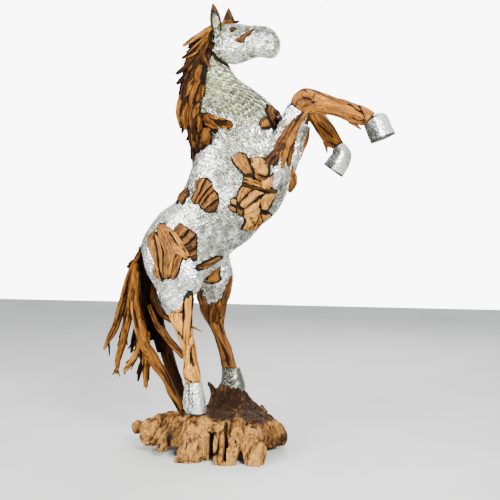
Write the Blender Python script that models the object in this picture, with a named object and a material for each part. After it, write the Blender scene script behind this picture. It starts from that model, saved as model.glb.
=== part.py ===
"""A rearing horse of driftwood and hammered sheet metal, standing on a root base.

The horse faces +X, its near (right) side faces -Y and the floor is z = 0. Sizes are
metres. Places are (x, z) or (x, y, z), read along the horse's own outline.
"""
import math

import bmesh
import bpy
import numpy as np

GAP = 0.0005              # left all round between two pieces that touch
SLIVER = 0.00002          # points closer than this are one point
HEAD_PIVOT = 0.040        # x of the upright line the head turns about
HEAD_TURN = math.radians(16)
SIMPLER = [math.radians(angle) for angle in (9, 6, 4, 2, 1)]   # bend up to which faces join
ROUND = 2.0               # section powers: an ellipse, then ones with fuller corners
SOFT = 2.2
FIRM = 2.3
FULL = 2.4
STICK_THIN = 0.003        # least radius of a stick
STICK_LUMPS = 0.12        # how far a stick's section swells and shrinks, as a share
STICK_TWIST = 1.7         # turn of those swellings from one ring to the next

FINISHES = {
    "hammered_aluminium": ((0.58, 0.58, 0.54, 1.0), 0.38, 0.90),
    "leg_driftwood": ((0.47, 0.22, 0.085, 1.0), 0.62, 0.0),
    "patch_driftwood": ((0.42, 0.19, 0.07, 1.0), 0.62, 0.0),
    "mane_driftwood": ((0.30, 0.13, 0.045, 1.0), 0.66, 0.0),
    "root_wood": ((0.44, 0.27, 0.14, 1.0), 0.75, 0.0),
}

# Trunk and neck, from the tail root to the poll: back line, belly line, half width.
TRUNK = (
    ((-0.370, 1.065), (-0.085, 0.850), 0.150),
    ((-0.335, 1.135), (-0.040, 0.890), 0.172),
    ((-0.265, 1.225), (0.055, 0.970), 0.180),
    ((-0.180, 1.285), (0.100, 1.025), 0.180),
    ((-0.130, 1.365), (0.185, 1.085), 0.182),
    ((-0.090, 1.470), (0.255, 1.160), 0.180),
    ((-0.065, 1.545), (0.315, 1.210), 0.174),
    ((-0.045, 1.610), (0.375, 1.300), 0.165),
    ((-0.045, 1.680), (0.405, 1.430), 0.150),
    ((-0.065, 1.750), (0.385, 1.590), 0.128),
    ((-0.090, 1.815), (0.326, 1.748), 0.106),
    ((-0.105, 1.870), (0.212, 1.850), 0.088),
    ((-0.105, 1.920), (0.140, 1.900), 0.080),
    ((-0.085, 1.990), (0.100, 1.955), 0.072),
    ((-0.050, 2.045), (0.080, 1.990), 0.064),
    ((-0.020, 2.105), (0.070, 2.030), 0.054),
    ((0.015, 2.135), (0.080, 2.075), 0.040),
)
RUMP_DOME = ((0.030, 0.86), (0.055, 0.52))    # depth past the tail root, share of its size
TRUNK_RINGS = 22
TRUNK_SIDES = 18

# Head, from the poll to the lips: distance along, top, underside, half width.
HEAD = (
    (0.000, 2.120, 2.070, 0.035),
    (0.020, 2.155, 2.030, 0.055),
    (0.073, 2.172, 1.993, 0.068),
    (0.115, 2.173, 1.976, 0.074),
    (0.160, 2.169, 1.980, 0.072),
    (0.217, 2.157, 1.993, 0.060),
    (0.265, 2.151, 1.999, 0.050),
    (0.305, 2.143, 1.991, 0.050),
    (0.338, 2.127, 1.986, 0.049),
    (0.362, 2.100, 2.003, 0.040),
    (0.377, 2.073, 2.035, 0.018),
)
HEAD_RINGS = 12
HEAD_SIDES = 14

# Leg forms, as the edge pairs of the side view: rear edge, front edge, y, half depth.
NEAR_THIGH = (
    ((-0.215, 1.150), (-0.100, 1.165), -0.085, 0.060),
    ((-0.280, 1.110), (-0.050, 1.115), -0.105, 0.088),
    ((-0.328, 1.045), (-0.025, 1.045), -0.110, 0.097),
    ((-0.322, 0.978), (-0.036, 0.978), -0.115, 0.097),
    ((-0.305, 0.922), (-0.022, 0.915), -0.120, 0.088),
    ((-0.275, 0.874), (-0.022, 0.873), -0.122, 0.078),
    ((-0.248, 0.826), (-0.044, 0.828), -0.125, 0.066),
    ((-0.238, 0.785), (-0.092, 0.785), -0.128, 0.055),
    ((-0.205, 0.745), (-0.104, 0.742), -0.130, 0.044),
)
FAR_THIGH = (
    ((-0.110, 1.150), (0.000, 1.150), 0.085, 0.060),
    ((-0.170, 1.090), (0.045, 1.085), 0.105, 0.088),
    ((-0.185, 1.010), (0.060, 0.985), 0.115, 0.095),
    ((-0.150, 0.925), (0.078, 0.900), 0.122, 0.086),
    ((-0.112, 0.850), (0.073, 0.841), 0.128, 0.070),
    ((-0.110, 0.790), (0.062, 0.785), 0.133, 0.056),
    ((-0.105, 0.735), (0.048, 0.750), 0.136, 0.048),
)
NEAR_SHANK = (
    ((-0.108, 0.822), (-0.076, 0.822), -0.136, 0.026),
    ((-0.135, 0.770), (-0.067, 0.775), -0.136, 0.038),
    ((-0.188, 0.712), (-0.066, 0.725), -0.134, 0.042),
    ((-0.170, 0.650), (-0.068, 0.655), -0.132, 0.040),
    ((-0.145, 0.600), (-0.066, 0.600), -0.130, 0.038),
    ((-0.130, 0.552), (-0.056, 0.556), -0.130, 0.036),
    ((-0.116, 0.480), (-0.045, 0.482), -0.130, 0.036),
    ((-0.120, 0.420), (-0.027, 0.416), -0.130, 0.044),
    ((-0.106, 0.372), (-0.024, 0.372), -0.130, 0.040),
)
FAR_SHANK = (
    ((-0.104, 0.760), (0.046, 0.765), 0.138, 0.044),
    ((-0.100, 0.700), (0.037, 0.700), 0.138, 0.042),
    ((-0.052, 0.620), (0.027, 0.620), 0.138, 0.038),
    ((-0.020, 0.550), (0.046, 0.550), 0.140, 0.036),
    ((0.000, 0.490), (0.068, 0.490), 0.140, 0.036),
    ((0.016, 0.410), (0.095, 0.405), 0.140, 0.042),
)
NEAR_CAP = (
    ((-0.104, 0.370), (-0.025, 0.370), -0.130, 0.042),
    ((-0.112, 0.320), (-0.014, 0.320), -0.130, 0.048),
    ((-0.117, 0.268), (-0.004, 0.264), -0.130, 0.054),
    ((-0.106, 0.210), (0.002, 0.210), -0.130, 0.052),
)
FAR_CAP = (
    ((0.018, 0.405), (0.110, 0.400), 0.140, 0.046),
    ((0.018, 0.350), (0.128, 0.350), 0.140, 0.052),
    ((0.014, 0.300), (0.142, 0.300), 0.140, 0.058),
    ((0.018, 0.262), (0.140, 0.262), 0.140, 0.056),
)
NEAR_FOREARM = (
    ((0.185, 1.330), (0.320, 1.290), -0.100, 0.048),
    ((0.262, 1.420), (0.372, 1.375), -0.118, 0.052),
    ((0.303, 1.490), (0.404, 1.450), -0.128, 0.050),
    ((0.345, 1.590), (0.448, 1.548), -0.132, 0.048),
    ((0.388, 1.690), (0.492, 1.645), -0.133, 0.046),
    ((0.422, 1.755), (0.515, 1.706), -0.134, 0.044),
)
FAR_FOREARM = (
    ((0.185, 1.330), (0.320, 1.290), 0.105, 0.050),
    ((0.262, 1.420), (0.385, 1.375), 0.115, 0.054),
    ((0.312, 1.500), (0.422, 1.460), 0.120, 0.050),
    ((0.352, 1.600), (0.452, 1.565), 0.121, 0.046),
    ((0.398, 1.705), (0.484, 1.668), 0.122, 0.044),
)
NEAR_CANNON = (
    ((0.425, 1.752), (0.505, 1.700), -0.134, 0.044),
    ((0.444, 1.795), (0.530, 1.695), -0.134, 0.048),
    ((0.490, 1.822), (0.548, 1.695), -0.134, 0.050),
    ((0.532, 1.818), (0.560, 1.696), -0.133, 0.046),
    ((0.585, 1.802), (0.578, 1.697), -0.132, 0.042),
    ((0.668, 1.770), (0.655, 1.684), -0.130, 0.038),
    ((0.755, 1.742), (0.725, 1.656), -0.130, 0.038),
    ((0.802, 1.724), (0.762, 1.642), -0.130, 0.042),
    ((0.836, 1.700), (0.790, 1.642), -0.130, 0.038),
)
FAR_CANNON = (
    ((0.402, 1.712), (0.482, 1.672), 0.122, 0.044),
    ((0.436, 1.768), (0.484, 1.690), 0.122, 0.048),
    ((0.490, 1.795), (0.487, 1.702), 0.122, 0.050),
    ((0.545, 1.766), (0.484, 1.706), 0.121, 0.046),
    ((0.575, 1.718), (0.490, 1.688), 0.120, 0.042),
    ((0.620, 1.655), (0.534, 1.622), 0.120, 0.038),
    ((0.652, 1.604), (0.574, 1.562), 0.120, 0.040),
    ((0.664, 1.580), (0.606, 1.548), 0.120, 0.036),
)
NEAR_HOOF = (
    ((0.850, 1.700), (0.788, 1.640), -0.130, 0.036),
    ((0.888, 1.690), (0.784, 1.640), -0.130, 0.050),
    ((0.914, 1.640), (0.800, 1.596), -0.130, 0.058),
    ((0.934, 1.598), (0.818, 1.552), -0.130, 0.060),
)
FAR_HOOF = (
    ((0.668, 1.582), (0.606, 1.546), 0.120, 0.036),
    ((0.702, 1.528), (0.606, 1.530), 0.120, 0.050),
    ((0.692, 1.468), (0.584, 1.502), 0.120, 0.058),
    ((0.656, 1.404), (0.562, 1.474), 0.120, 0.060),
)

# Driftwood pieces laid on the metal: the stretch of y they lie in, thickness, outline.
PATCHES = {
    "rump_patch": (-0.100, -0.300, 0.014, (
        (-0.270, 1.090), (-0.255, 1.130), (-0.220, 1.162), (-0.187, 1.162), (-0.140, 1.128),
        (-0.114, 1.098), (-0.096, 1.036), (-0.070, 1.000), (-0.100, 0.998), (-0.126, 0.940),
        (-0.152, 0.894), (-0.208, 0.884), (-0.235, 0.898), (-0.246, 0.990))),
    "hip_patch": (-0.080, -0.300, 0.016, (
        (-0.150, 1.140), (-0.117, 1.170), (-0.070, 1.144), (-0.034, 1.104), (-0.032, 1.002),
        (-0.052, 0.994), (-0.092, 1.040), (-0.110, 1.104))),
    "flank_patch": (-0.050, -0.300, 0.014, (
        (-0.037, 1.386), (0.018, 1.402), (0.046, 1.380), (0.056, 1.344), (0.084, 1.318),
        (0.086, 1.284), (0.074, 1.246), (0.020, 1.222), (-0.014, 1.242), (-0.024, 1.266),
        (-0.064, 1.284), (-0.036, 1.336))),
    "shoulder_patch": (-0.050, -0.300, 0.018, (
        (0.150, 1.502), (0.186, 1.522), (0.228, 1.494), (0.335, 1.484), (0.338, 1.410),
        (0.350, 1.374), (0.334, 1.342), (0.246, 1.352), (0.205, 1.376), (0.186, 1.432))),
    "girth_patch": (-0.040, -0.300, 0.018, (
        (0.186, 1.352), (0.236, 1.346), (0.296, 1.336), (0.358, 1.324), (0.328, 1.256),
        (0.305, 1.228), (0.330, 1.212), (0.286, 1.190), (0.250, 1.144), (0.200, 1.130),
        (0.212, 1.188), (0.164, 1.240), (0.130, 1.244), (0.140, 1.298), (0.170, 1.308))),
    "back_patch": (-0.010, -0.300, 0.016, (
        (-0.172, 1.286), (-0.140, 1.322), (-0.112, 1.342), (-0.104, 1.318), (-0.128, 1.290),
        (-0.150, 1.260))),
    "belly_patch": (-0.020, -0.300, 0.012, (
        (-0.050, 0.952), (0.052, 1.012), (0.078, 1.004), (0.028, 0.974), (-0.036, 0.930))),
    "breast_patch": (-0.010, -0.300, 0.016, (
        (0.304, 1.748), (0.322, 1.762), (0.384, 1.690), (0.346, 1.630), (0.300, 1.648),
        (0.262, 1.656), (0.280, 1.684), (0.306, 1.700))),
    "inner_thigh_patch": (0.000, 0.120, 0.012, (
        (-0.070, 0.880), (-0.024, 0.916), (0.014, 0.962), (0.036, 0.940), (0.034, 0.906),
        (0.012, 0.862))),
    "far_rump_patch": (0.100, 0.300, 0.014, (
        (-0.200, 1.110), (-0.140, 1.150), (-0.070, 1.120), (-0.030, 1.030), (-0.070, 0.930),
        (-0.140, 0.950), (-0.180, 1.020))),
    "far_flank_patch": (0.050, 0.300, 0.014, (
        (-0.030, 1.400), (0.040, 1.420), (0.090, 1.350), (0.080, 1.270), (0.010, 1.240),
        (-0.040, 1.310))),
    "far_shoulder_patch": (0.050, 0.300, 0.018, (
        (0.150, 1.510), (0.230, 1.520), (0.320, 1.440), (0.310, 1.330), (0.220, 1.270),
        (0.150, 1.350))),
    "far_elbow_patch": (0.050, 0.300, 0.020, (
        (0.362, 1.468), (0.408, 1.464), (0.452, 1.410), (0.430, 1.335), (0.366, 1.372))),
}
# Two pieces let into the side of the head, measured on the head before it turns.
HEAD_PATCHES = {
    "right_eye": (-0.040, -0.300, 0.006, (
        (0.133, 2.131), (0.145, 2.142), (0.165, 2.142), (0.175, 2.131), (0.162, 2.122),
        (0.146, 2.122))),
    "left_eye": (0.040, 0.300, 0.006, (
        (0.133, 2.131), (0.145, 2.142), (0.165, 2.142), (0.175, 2.131), (0.162, 2.122),
        (0.146, 2.122))),
    "cheek_strip": (-0.030, -0.300, 0.010, (
        (0.168, 2.080), (0.200, 2.090), (0.240, 2.118), (0.256, 2.120), (0.250, 2.106),
        (0.222, 2.084), (0.212, 2.066), (0.190, 2.064))),
}

# Loose lengths of driftwood: flatness, then points (x, y, z, radius).
MANE = {
    "mane_lock_01": (0.5, ((0.020, -0.050, 2.160, 0.014), (-0.069, -0.050, 2.109, 0.018),
                           (-0.142, -0.040, 2.074, 0.007))),
    "mane_lock_02": (0.5, ((0.006, -0.062, 2.125, 0.014), (-0.072, -0.060, 2.045, 0.020),
                           (-0.146, -0.045, 2.009, 0.006))),
    "mane_lock_03": (0.5, ((-0.020, -0.064, 2.090, 0.014), (-0.090, -0.045, 1.990, 0.021),
                           (-0.182, -0.030, 1.935, 0.007))),
    "mane_lock_04": (0.5, ((0.002, -0.085, 2.079, 0.012), (-0.026, -0.086, 2.020, 0.020),
                           (0.007, -0.088, 1.955, 0.008))),
    "mane_lock_05": (0.5, ((-0.030, -0.074, 2.040, 0.014), (-0.060, -0.072, 1.970, 0.021),
                           (-0.092, -0.060, 1.890, 0.008))),
    "mane_lock_06": (0.5, ((-0.078, -0.030, 1.990, 0.013), (-0.125, -0.025, 1.930, 0.019),
                           (-0.184, -0.015, 1.886, 0.006))),
    "mane_lock_07": (0.5, ((-0.034, -0.082, 1.965, 0.013), (-0.050, -0.084, 1.915, 0.018),
                           (-0.035, -0.088, 1.868, 0.007))),
    "mane_lock_08": (0.5, ((-0.090, -0.050, 1.940, 0.016), (-0.128, -0.040, 1.850, 0.026),
                           (-0.136, -0.035, 1.772, 0.008))),
    "mane_lock_09": (0.5, ((-0.052, -0.084, 1.880, 0.016), (-0.082, -0.074, 1.804, 0.022),
                           (-0.093, -0.060, 1.712, 0.008))),
    "mane_lock_10": (0.5, ((-0.140, -0.010, 1.860, 0.014), (-0.172, -0.005, 1.762, 0.020),
                           (-0.165, 0.000, 1.660, 0.007))),
    "mane_lock_11": (0.5, ((-0.108, -0.050, 1.800, 0.015), (-0.124, -0.040, 1.726, 0.020),
                           (-0.132, -0.030, 1.648, 0.008))),
    "mane_lock_12": (0.5, ((-0.070, -0.075, 1.770, 0.015), (-0.082, -0.070, 1.700, 0.021),
                           (-0.082, -0.055, 1.626, 0.008))),
    "mane_lock_13": (0.6, ((-0.062, -0.035, 1.712, 0.017), (-0.086, -0.020, 1.597, 0.024),
                           (-0.106, -0.010, 1.498, 0.007))),
}
TAIL = {
    "tail_branch_01": (0.9, ((-0.388, -0.010, 1.020, 0.012), (-0.420, -0.020, 0.946, 0.021),
                             (-0.452, -0.025, 0.845, 0.021), (-0.502, -0.025, 0.690, 0.021),
                             (-0.550, -0.020, 0.570, 0.015), (-0.589, -0.020, 0.500, 0.006))),
    "tail_branch_02": (0.9, ((-0.395, 0.050, 1.000, 0.014), (-0.430, 0.055, 0.966, 0.019),
                             (-0.482, 0.055, 0.932, 0.006))),
    "tail_branch_03": (0.9, ((-0.392, -0.050, 0.960, 0.016), (-0.408, -0.062, 0.848, 0.023),
                             (-0.446, -0.062, 0.637, 0.021), (-0.496, -0.055, 0.455, 0.014),
                             (-0.508, -0.050, 0.378, 0.006))),
    "tail_branch_04": (0.9, ((-0.402, 0.080, 0.930, 0.016), (-0.425, 0.085, 0.770, 0.024),
                             (-0.442, 0.080, 0.600, 0.018), (-0.472, 0.075, 0.470, 0.006))),
    "tail_brace_near": (0.9, ((-0.375, -0.075, 0.920, 0.016), (-0.392, -0.085, 0.771, 0.025),
                              (-0.364, -0.090, 0.641, 0.027), (-0.318, -0.090, 0.515, 0.025),
                              (-0.221, -0.085, 0.359, 0.024), (-0.140, -0.080, 0.215, 0.024))),
    "tail_brace_far": (0.9, ((-0.355, 0.085, 0.840, 0.018), (-0.330, 0.080, 0.700, 0.026),
                             (-0.280, 0.060, 0.526, 0.030), (-0.200, 0.030, 0.316, 0.026),
                             (-0.145, 0.010, 0.210, 0.024))),
    "tail_branch_05": (0.9, ((-0.372, -0.035, 0.640, 0.015), (-0.384, -0.038, 0.515, 0.017),
                             (-0.423, -0.040, 0.451, 0.016), (-0.468, -0.040, 0.392, 0.010))),
    "tail_branch_06": (0.9, ((-0.352, -0.010, 0.600, 0.018), (-0.356, -0.010, 0.448, 0.024),
                             (-0.362, -0.010, 0.306, 0.009))),
    "hock_branch_upper": (0.9, ((-0.330, 0.005, 0.850, 0.015), (-0.300, -0.015, 0.770, 0.018),
                                (-0.250, -0.070, 0.705, 0.018), (-0.180, -0.125, 0.680, 0.014))),
    "hock_branch_lower": (0.9, ((-0.325, -0.045, 0.745, 0.012), (-0.272, -0.070, 0.640, 0.016),
                                (-0.205, -0.110, 0.570, 0.018), (-0.130, -0.130, 0.490, 0.012))),
}
ROOT_STRIPS = {
    "right_forearm_root": (0.75, ((0.520, -0.160, 1.735, 0.016), (0.480, -0.166, 1.660, 0.028),
                                  (0.450, -0.168, 1.600, 0.029), (0.410, -0.170, 1.535, 0.030),
                                  (0.378, -0.172, 1.485, 0.029), (0.346, -0.170, 1.445, 0.018))),
    "left_forearm_root": (0.75, ((0.476, 0.142, 1.672, 0.014), (0.456, 0.150, 1.600, 0.022),
                                 (0.436, 0.150, 1.545, 0.020), (0.424, 0.144, 1.500, 0.012))),
}
# Pieces that grew as one with their arms: flatness, then the points of each arm.
CLUSTERS = {
    "withers_root": (0.8, (
        ((-0.055, -0.080, 1.705, 0.018), (0.000, -0.100, 1.692, 0.027),
         (0.060, -0.122, 1.674, 0.024), (0.100, -0.136, 1.664, 0.018),
         (0.134, -0.142, 1.655, 0.017)),
        ((0.000, -0.096, 1.700, 0.022), (0.040, -0.120, 1.655, 0.024),
         (0.060, -0.130, 1.618, 0.014)),
        ((-0.040, -0.085, 1.690, 0.022), (-0.034, -0.100, 1.640, 0.026),
         (-0.004, -0.118, 1.600, 0.034), (-0.020, -0.105, 1.565, 0.028),
         (-0.050, -0.084, 1.545, 0.014)),
        ((0.010, -0.078, 1.742, 0.012), (0.022, -0.096, 1.705, 0.022),
         (0.006, -0.112, 1.670, 0.018)))),
    "mane_lock_14": (0.4, (
        ((-0.010, 0.010, 2.130, 0.022), (-0.085, 0.015, 2.010, 0.050),
         (-0.130, 0.015, 1.900, 0.018)),
        ((-0.060, 0.020, 2.090, 0.020), (-0.118, 0.020, 2.010, 0.034),
         (-0.154, 0.020, 1.912, 0.008)))),
    "mane_lock_15": (0.4, (
        ((-0.105, 0.015, 1.950, 0.024), (-0.135, 0.020, 1.830, 0.048),
         (-0.145, 0.020, 1.690, 0.018)),
        ((-0.062, 0.030, 2.000, 0.020), (-0.089, 0.035, 1.909, 0.038),
         (-0.116, 0.030, 1.823, 0.014)),
        ((-0.105, 0.030, 1.875, 0.018), (-0.150, 0.030, 1.788, 0.030),
         (-0.171, 0.020, 1.706, 0.008)))),
    "mane_lock_16": (0.4, (
        ((-0.090, 0.010, 1.800, 0.030), (-0.105, 0.015, 1.690, 0.044),
         (-0.115, 0.010, 1.580, 0.014)),
        ((-0.068, 0.020, 1.720, 0.022), (-0.084, 0.020, 1.630, 0.032),
         (-0.094, 0.010, 1.540, 0.010)))),
    "tail_core": (0.9, (
        ((-0.385, 0.020, 1.050, 0.018), (-0.376, 0.022, 0.930, 0.044),
         (-0.360, 0.025, 0.790, 0.046), (-0.350, 0.030, 0.660, 0.036),
         (-0.345, 0.035, 0.550, 0.014)),
        ((-0.370, 0.020, 0.960, 0.020), (-0.342, 0.024, 0.790, 0.036),
         (-0.318, 0.024, 0.668, 0.034), (-0.300, 0.020, 0.562, 0.024),
         (-0.290, 0.015, 0.488, 0.010)),
        ((-0.345, 0.010, 0.850, 0.020), (-0.310, 0.005, 0.740, 0.028),
         (-0.283, 0.000, 0.640, 0.020), (-0.256, 0.000, 0.537, 0.005)),
        ((-0.380, 0.020, 0.760, 0.024), (-0.400, 0.022, 0.640, 0.032),
         (-0.402, 0.024, 0.550, 0.026), (-0.392, 0.026, 0.470, 0.020),
         (-0.380, 0.028, 0.400, 0.006)),
        ((-0.378, 0.034, 0.600, 0.018), (-0.396, 0.044, 0.440, 0.014),
         (-0.424, 0.050, 0.324, 0.005)))),
}
JAW_STICK = (0.8, ((0.024, -0.082, 2.030, 0.008), (0.048, -0.078, 1.996, 0.009),
                   (0.082, -0.084, 1.972, 0.008), (0.114, -0.082, 1.951, 0.004)))
RIGHT_EAR = (0.42, ((0.048, -0.062, 2.124, 0.018), (0.040, -0.068, 2.180, 0.025),
                    (0.031, -0.070, 2.235, 0.017), (0.025, -0.070, 2.271, 0.004)))
LEFT_EAR = (0.42, ((0.076, 0.046, 2.150, 0.026), (0.075, 0.052, 2.195, 0.027),
                   (0.074, 0.056, 2.245, 0.016), (0.074, 0.058, 2.279, 0.004)))
FORELOCK = (0.8, ((0.060, 0.028, 2.176, 0.020), (0.096, 0.022, 2.188, 0.013),
                  (0.140, 0.014, 2.196, 0.006)))
NEAR_ERGOT = (0.8, ((0.715, -0.130, 1.668, 0.014), (0.745, -0.130, 1.642, 0.010),
                    (0.772, -0.130, 1.621, 0.004)))
FAR_ERGOT = (0.8, ((0.568, 0.120, 1.590, 0.014), (0.574, 0.120, 1.562, 0.010),
                   (0.580, 0.120, 1.530, 0.004)))

# The leg pieces by name, with their stations and how many rings they are read at.
HOOVES = {
    "right_hind_hoof": (NEAR_CAP, 6),
    "left_hind_hoof": (FAR_CAP, 6),
    "right_fore_hoof": (NEAR_HOOF, 5),
    "left_fore_hoof": (FAR_HOOF, 5),
}
SHANKS = {"right_hind_shank": (NEAR_SHANK, 11), "left_hind_shank": (FAR_SHANK, 8)}
CANNONS = {
    "right_fore_cannon": (NEAR_CANNON, 11, NEAR_ERGOT),
    "left_fore_cannon": (FAR_CANNON, 11, FAR_ERGOT),
}

# The root base: a core, then limbs that taper to the floor.
CORE_CENTRE = (0.055, 0.000)
CORE_RINGS = ((-0.020, 0.190, 0.165), (0.045, 0.225, 0.205), (0.110, 0.243, 0.222),
              (0.170, 0.240, 0.214), (0.205, 0.214, 0.190), (0.220, 0.170, 0.150))
CORE_LOBES = 7
CORE_SIDES = 21
CORE_SWELL = 0.05         # how far the lobes stand out, as a share
CORE_TWIST = 8.0          # turn of the lobes for each metre of height
LIMB_LUMPS = 0.14
LIMB_PHASE = 0.8
ROOT_LIMBS = (
    (1.1, ((0.080, 0.120, 0.120, 0.115), (0.066, 0.145, 0.190, 0.115), (0.060, 0.150, 0.252, 0.080))),
    (1.1, ((-0.040, -0.090, 0.140, 0.090), (-0.050, -0.165, 0.120, 0.074),
           (-0.050, -0.226, 0.045, 0.056), (-0.052, -0.242, -0.020, 0.040))),
    (1.0, ((0.025, -0.110, 0.150, 0.070), (0.022, -0.185, 0.120, 0.052),
           (0.014, -0.228, 0.055, 0.036))),
    (1.0, ((0.090, -0.100, 0.140, 0.080), (0.094, -0.185, 0.115, 0.052),
           (0.096, -0.244, 0.050, 0.042), (0.116, -0.270, -0.010, 0.032))),
    (1.0, ((0.165, -0.090, 0.140, 0.080), (0.170, -0.172, 0.115, 0.056),
           (0.164, -0.236, 0.060, 0.038), (0.140, -0.268, -0.010, 0.030))),
    (1.1, ((0.220, -0.070, 0.130, 0.085), (0.248, -0.145, 0.110, 0.066),
           (0.266, -0.215, 0.055, 0.050), (0.272, -0.252, -0.020, 0.036))),
    (1.1, ((0.220, 0.020, 0.120, 0.085), (0.300, 0.045, 0.090, 0.064), (0.352, 0.060, 0.050, 0.042))),
    (1.1, ((-0.080, -0.040, 0.130, 0.090), (-0.180, -0.080, 0.125, 0.074),
           (-0.255, -0.115, 0.105, 0.060), (-0.312, -0.135, 0.080, 0.040))),
    (1.0, ((-0.100, 0.020, 0.120, 0.085), (-0.240, 0.000, 0.105, 0.062),
           (-0.400, -0.020, 0.088, 0.044))),
    (1.0, ((-0.090, -0.110, 0.125, 0.080), (-0.165, -0.170, 0.105, 0.060),
           (-0.205, -0.215, 0.060, 0.040))),
    (1.1, ((-0.060, 0.110, 0.110, 0.090), (-0.145, 0.180, 0.070, 0.062), (-0.185, 0.215, 0.010, 0.044))),
    (1.1, ((0.170, 0.110, 0.120, 0.090), (0.230, 0.175, 0.080, 0.066), (0.262, 0.212, 0.010, 0.044))),
    (1.0, ((0.010, 0.130, 0.230, 0.034), (-0.030, 0.130, 0.285, 0.016), (-0.062, 0.128, 0.325, 0.005))),
)
# Upright slots and hollows in the front of the base: centre, half sizes. They narrow upward.
BASE_SLOTS = (
    ((0.058, -0.250, 0.060), (0.014, 0.080, 0.080)),
    ((0.132, -0.260, 0.105), (0.009, 0.070, 0.085)),
    ((0.208, -0.250, 0.022), (0.030, 0.090, 0.048)),
)
SLOT_TOP = 0.45           # width of a slot's top as a share of its foot
FLOOR_BLOCK = ((0.0, 0.0, -0.5), (1.0, 1.0, 0.5))


def clear_scene():
    for obj in list(bpy.data.objects):
        bpy.data.objects.remove(obj, do_unlink=True)


def make_finish(name):
    """A plain material with the colour, roughness and metallic value of one finish."""
    colour, roughness, metallic = FINISHES[name]
    material = bpy.data.materials.new(name)
    material.use_nodes = True
    shader = material.node_tree.nodes["Principled BSDF"]
    shader.inputs["Base Color"].default_value = colour
    shader.inputs["Roughness"].default_value = roughness
    shader.inputs["Metallic"].default_value = metallic
    return material


def smooth(rows, count):
    """A Catmull-Rom curve through the rows, read at count even steps."""
    rows = np.asarray(rows, float)
    padded = np.vstack((2 * rows[0] - rows[1], rows, 2 * rows[-1] - rows[-2]))
    t = np.linspace(0, len(rows) - 1, count)
    i = np.minimum(t.astype(int), len(rows) - 2)
    u = (t - i)[:, None]
    a, b, c, d = (padded[i + k] for k in range(4))
    return 0.5 * (2 * b + (c - a) * u + (2 * a - 5 * b + 4 * c - d) * u ** 2
                  + (3 * b - a - 3 * c + d) * u ** 3)


def ring_points(centre, up, side, sides, power):
    """Rings of points: centre + up f(angle) + side g(angle), a superellipse."""
    angle = 2 * np.pi * np.arange(sides) / sides
    f = np.sign(np.cos(angle)) * np.abs(np.cos(angle)) ** (2 / power)
    g = np.sign(np.sin(angle)) * np.abs(np.sin(angle)) ** (2 / power)
    return centre[:, None] + up[:, None] * f[None, :, None] + side[:, None] * g[None, :, None]


def tube(rings):
    """A closed mesh through rows of rings, each end drawn to its middle point."""
    count, sides = rings.shape[:2]
    points = np.vstack((rings.reshape(-1, 3), rings[0].mean(0), rings[-1].mean(0)))
    first, last = count * sides, count * sides + 1
    faces = []
    for j in range(sides):
        k = (j + 1) % sides
        faces.append((first, k, j))
        faces.append((last, (count - 1) * sides + j, (count - 1) * sides + k))
        faces += [(i * sides + j, i * sides + k, (i + 1) * sides + k, (i + 1) * sides + j)
                  for i in range(count - 1)]
    return build_mesh(points, faces)


def build_mesh(points, faces):
    """A mesh of triangles facing out, so that its grown copy has the same edges."""
    mesh = bpy.data.meshes.new("form")
    mesh.from_pydata([tuple(map(float, p)) for p in points], [], faces)
    work = bmesh.new()
    work.from_mesh(mesh)
    bmesh.ops.triangulate(work, faces=work.faces)
    bmesh.ops.recalc_face_normals(work, faces=work.faces)
    if work.calc_volume(signed=True) < 0:
        bmesh.ops.reverse_faces(work, faces=work.faces)
    work.to_mesh(mesh)
    work.free()
    return mesh


def lofted(path, sides, power):
    """A closed form along rows of centre, half the height as a vector, half the width."""
    return tube(ring_points(path[:, :3], path[:, 3:6], path[:, 6:], sides, power))


def trunk_mesh():
    """Trunk and neck, with a dome over the tail end."""
    rows = []
    for back, belly, half_width in TRUNK:
        rows.append(((back[0] + belly[0]) / 2, 0, (back[1] + belly[1]) / 2,
                     (back[0] - belly[0]) / 2, 0, (back[1] - belly[1]) / 2, 0, half_width, 0))
    start = np.array(rows[0], float)
    outward = np.array((start[5], 0, -start[3])) / math.hypot(start[3], start[5])
    dome = [np.concatenate((start[:3] - outward * depth, start[3:] * share))
            for depth, share in reversed(RUMP_DOME)]
    return lofted(np.vstack((dome, smooth(rows, TRUNK_RINGS))), TRUNK_SIDES, FIRM)


def head_mesh():
    """The head looking straight ahead, before it turns."""
    rows = [(along, 0, (top + under) / 2, 0, 0, (top - under) / 2, 0, half_width, 0)
            for along, top, under, half_width in HEAD]
    return lofted(smooth(rows, HEAD_RINGS), HEAD_SIDES, SOFT)


def turn_head(mesh):
    """Turns a mesh made on the straight head about the upright line at the poll."""
    for vertex in mesh.vertices:
        along = vertex.co.x - HEAD_PIVOT
        across = vertex.co.y
        vertex.co.x = HEAD_PIVOT + along * math.cos(HEAD_TURN) + across * math.sin(HEAD_TURN)
        vertex.co.y = across * math.cos(HEAD_TURN) - along * math.sin(HEAD_TURN)
    return mesh


def limb_mesh(stations, count, sides, power=ROUND):
    """A limb from edge pairs of the side view, each with its y and half depth."""
    rows = []
    for rear, front, y, half_depth in stations:
        rows.append(((rear[0] + front[0]) / 2, y, (rear[1] + front[1]) / 2,
                     (rear[0] - front[0]) / 2, 0, (rear[1] - front[1]) / 2, 0, half_depth, 0))
    return lofted(smooth(rows, count), sides, power)


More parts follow.
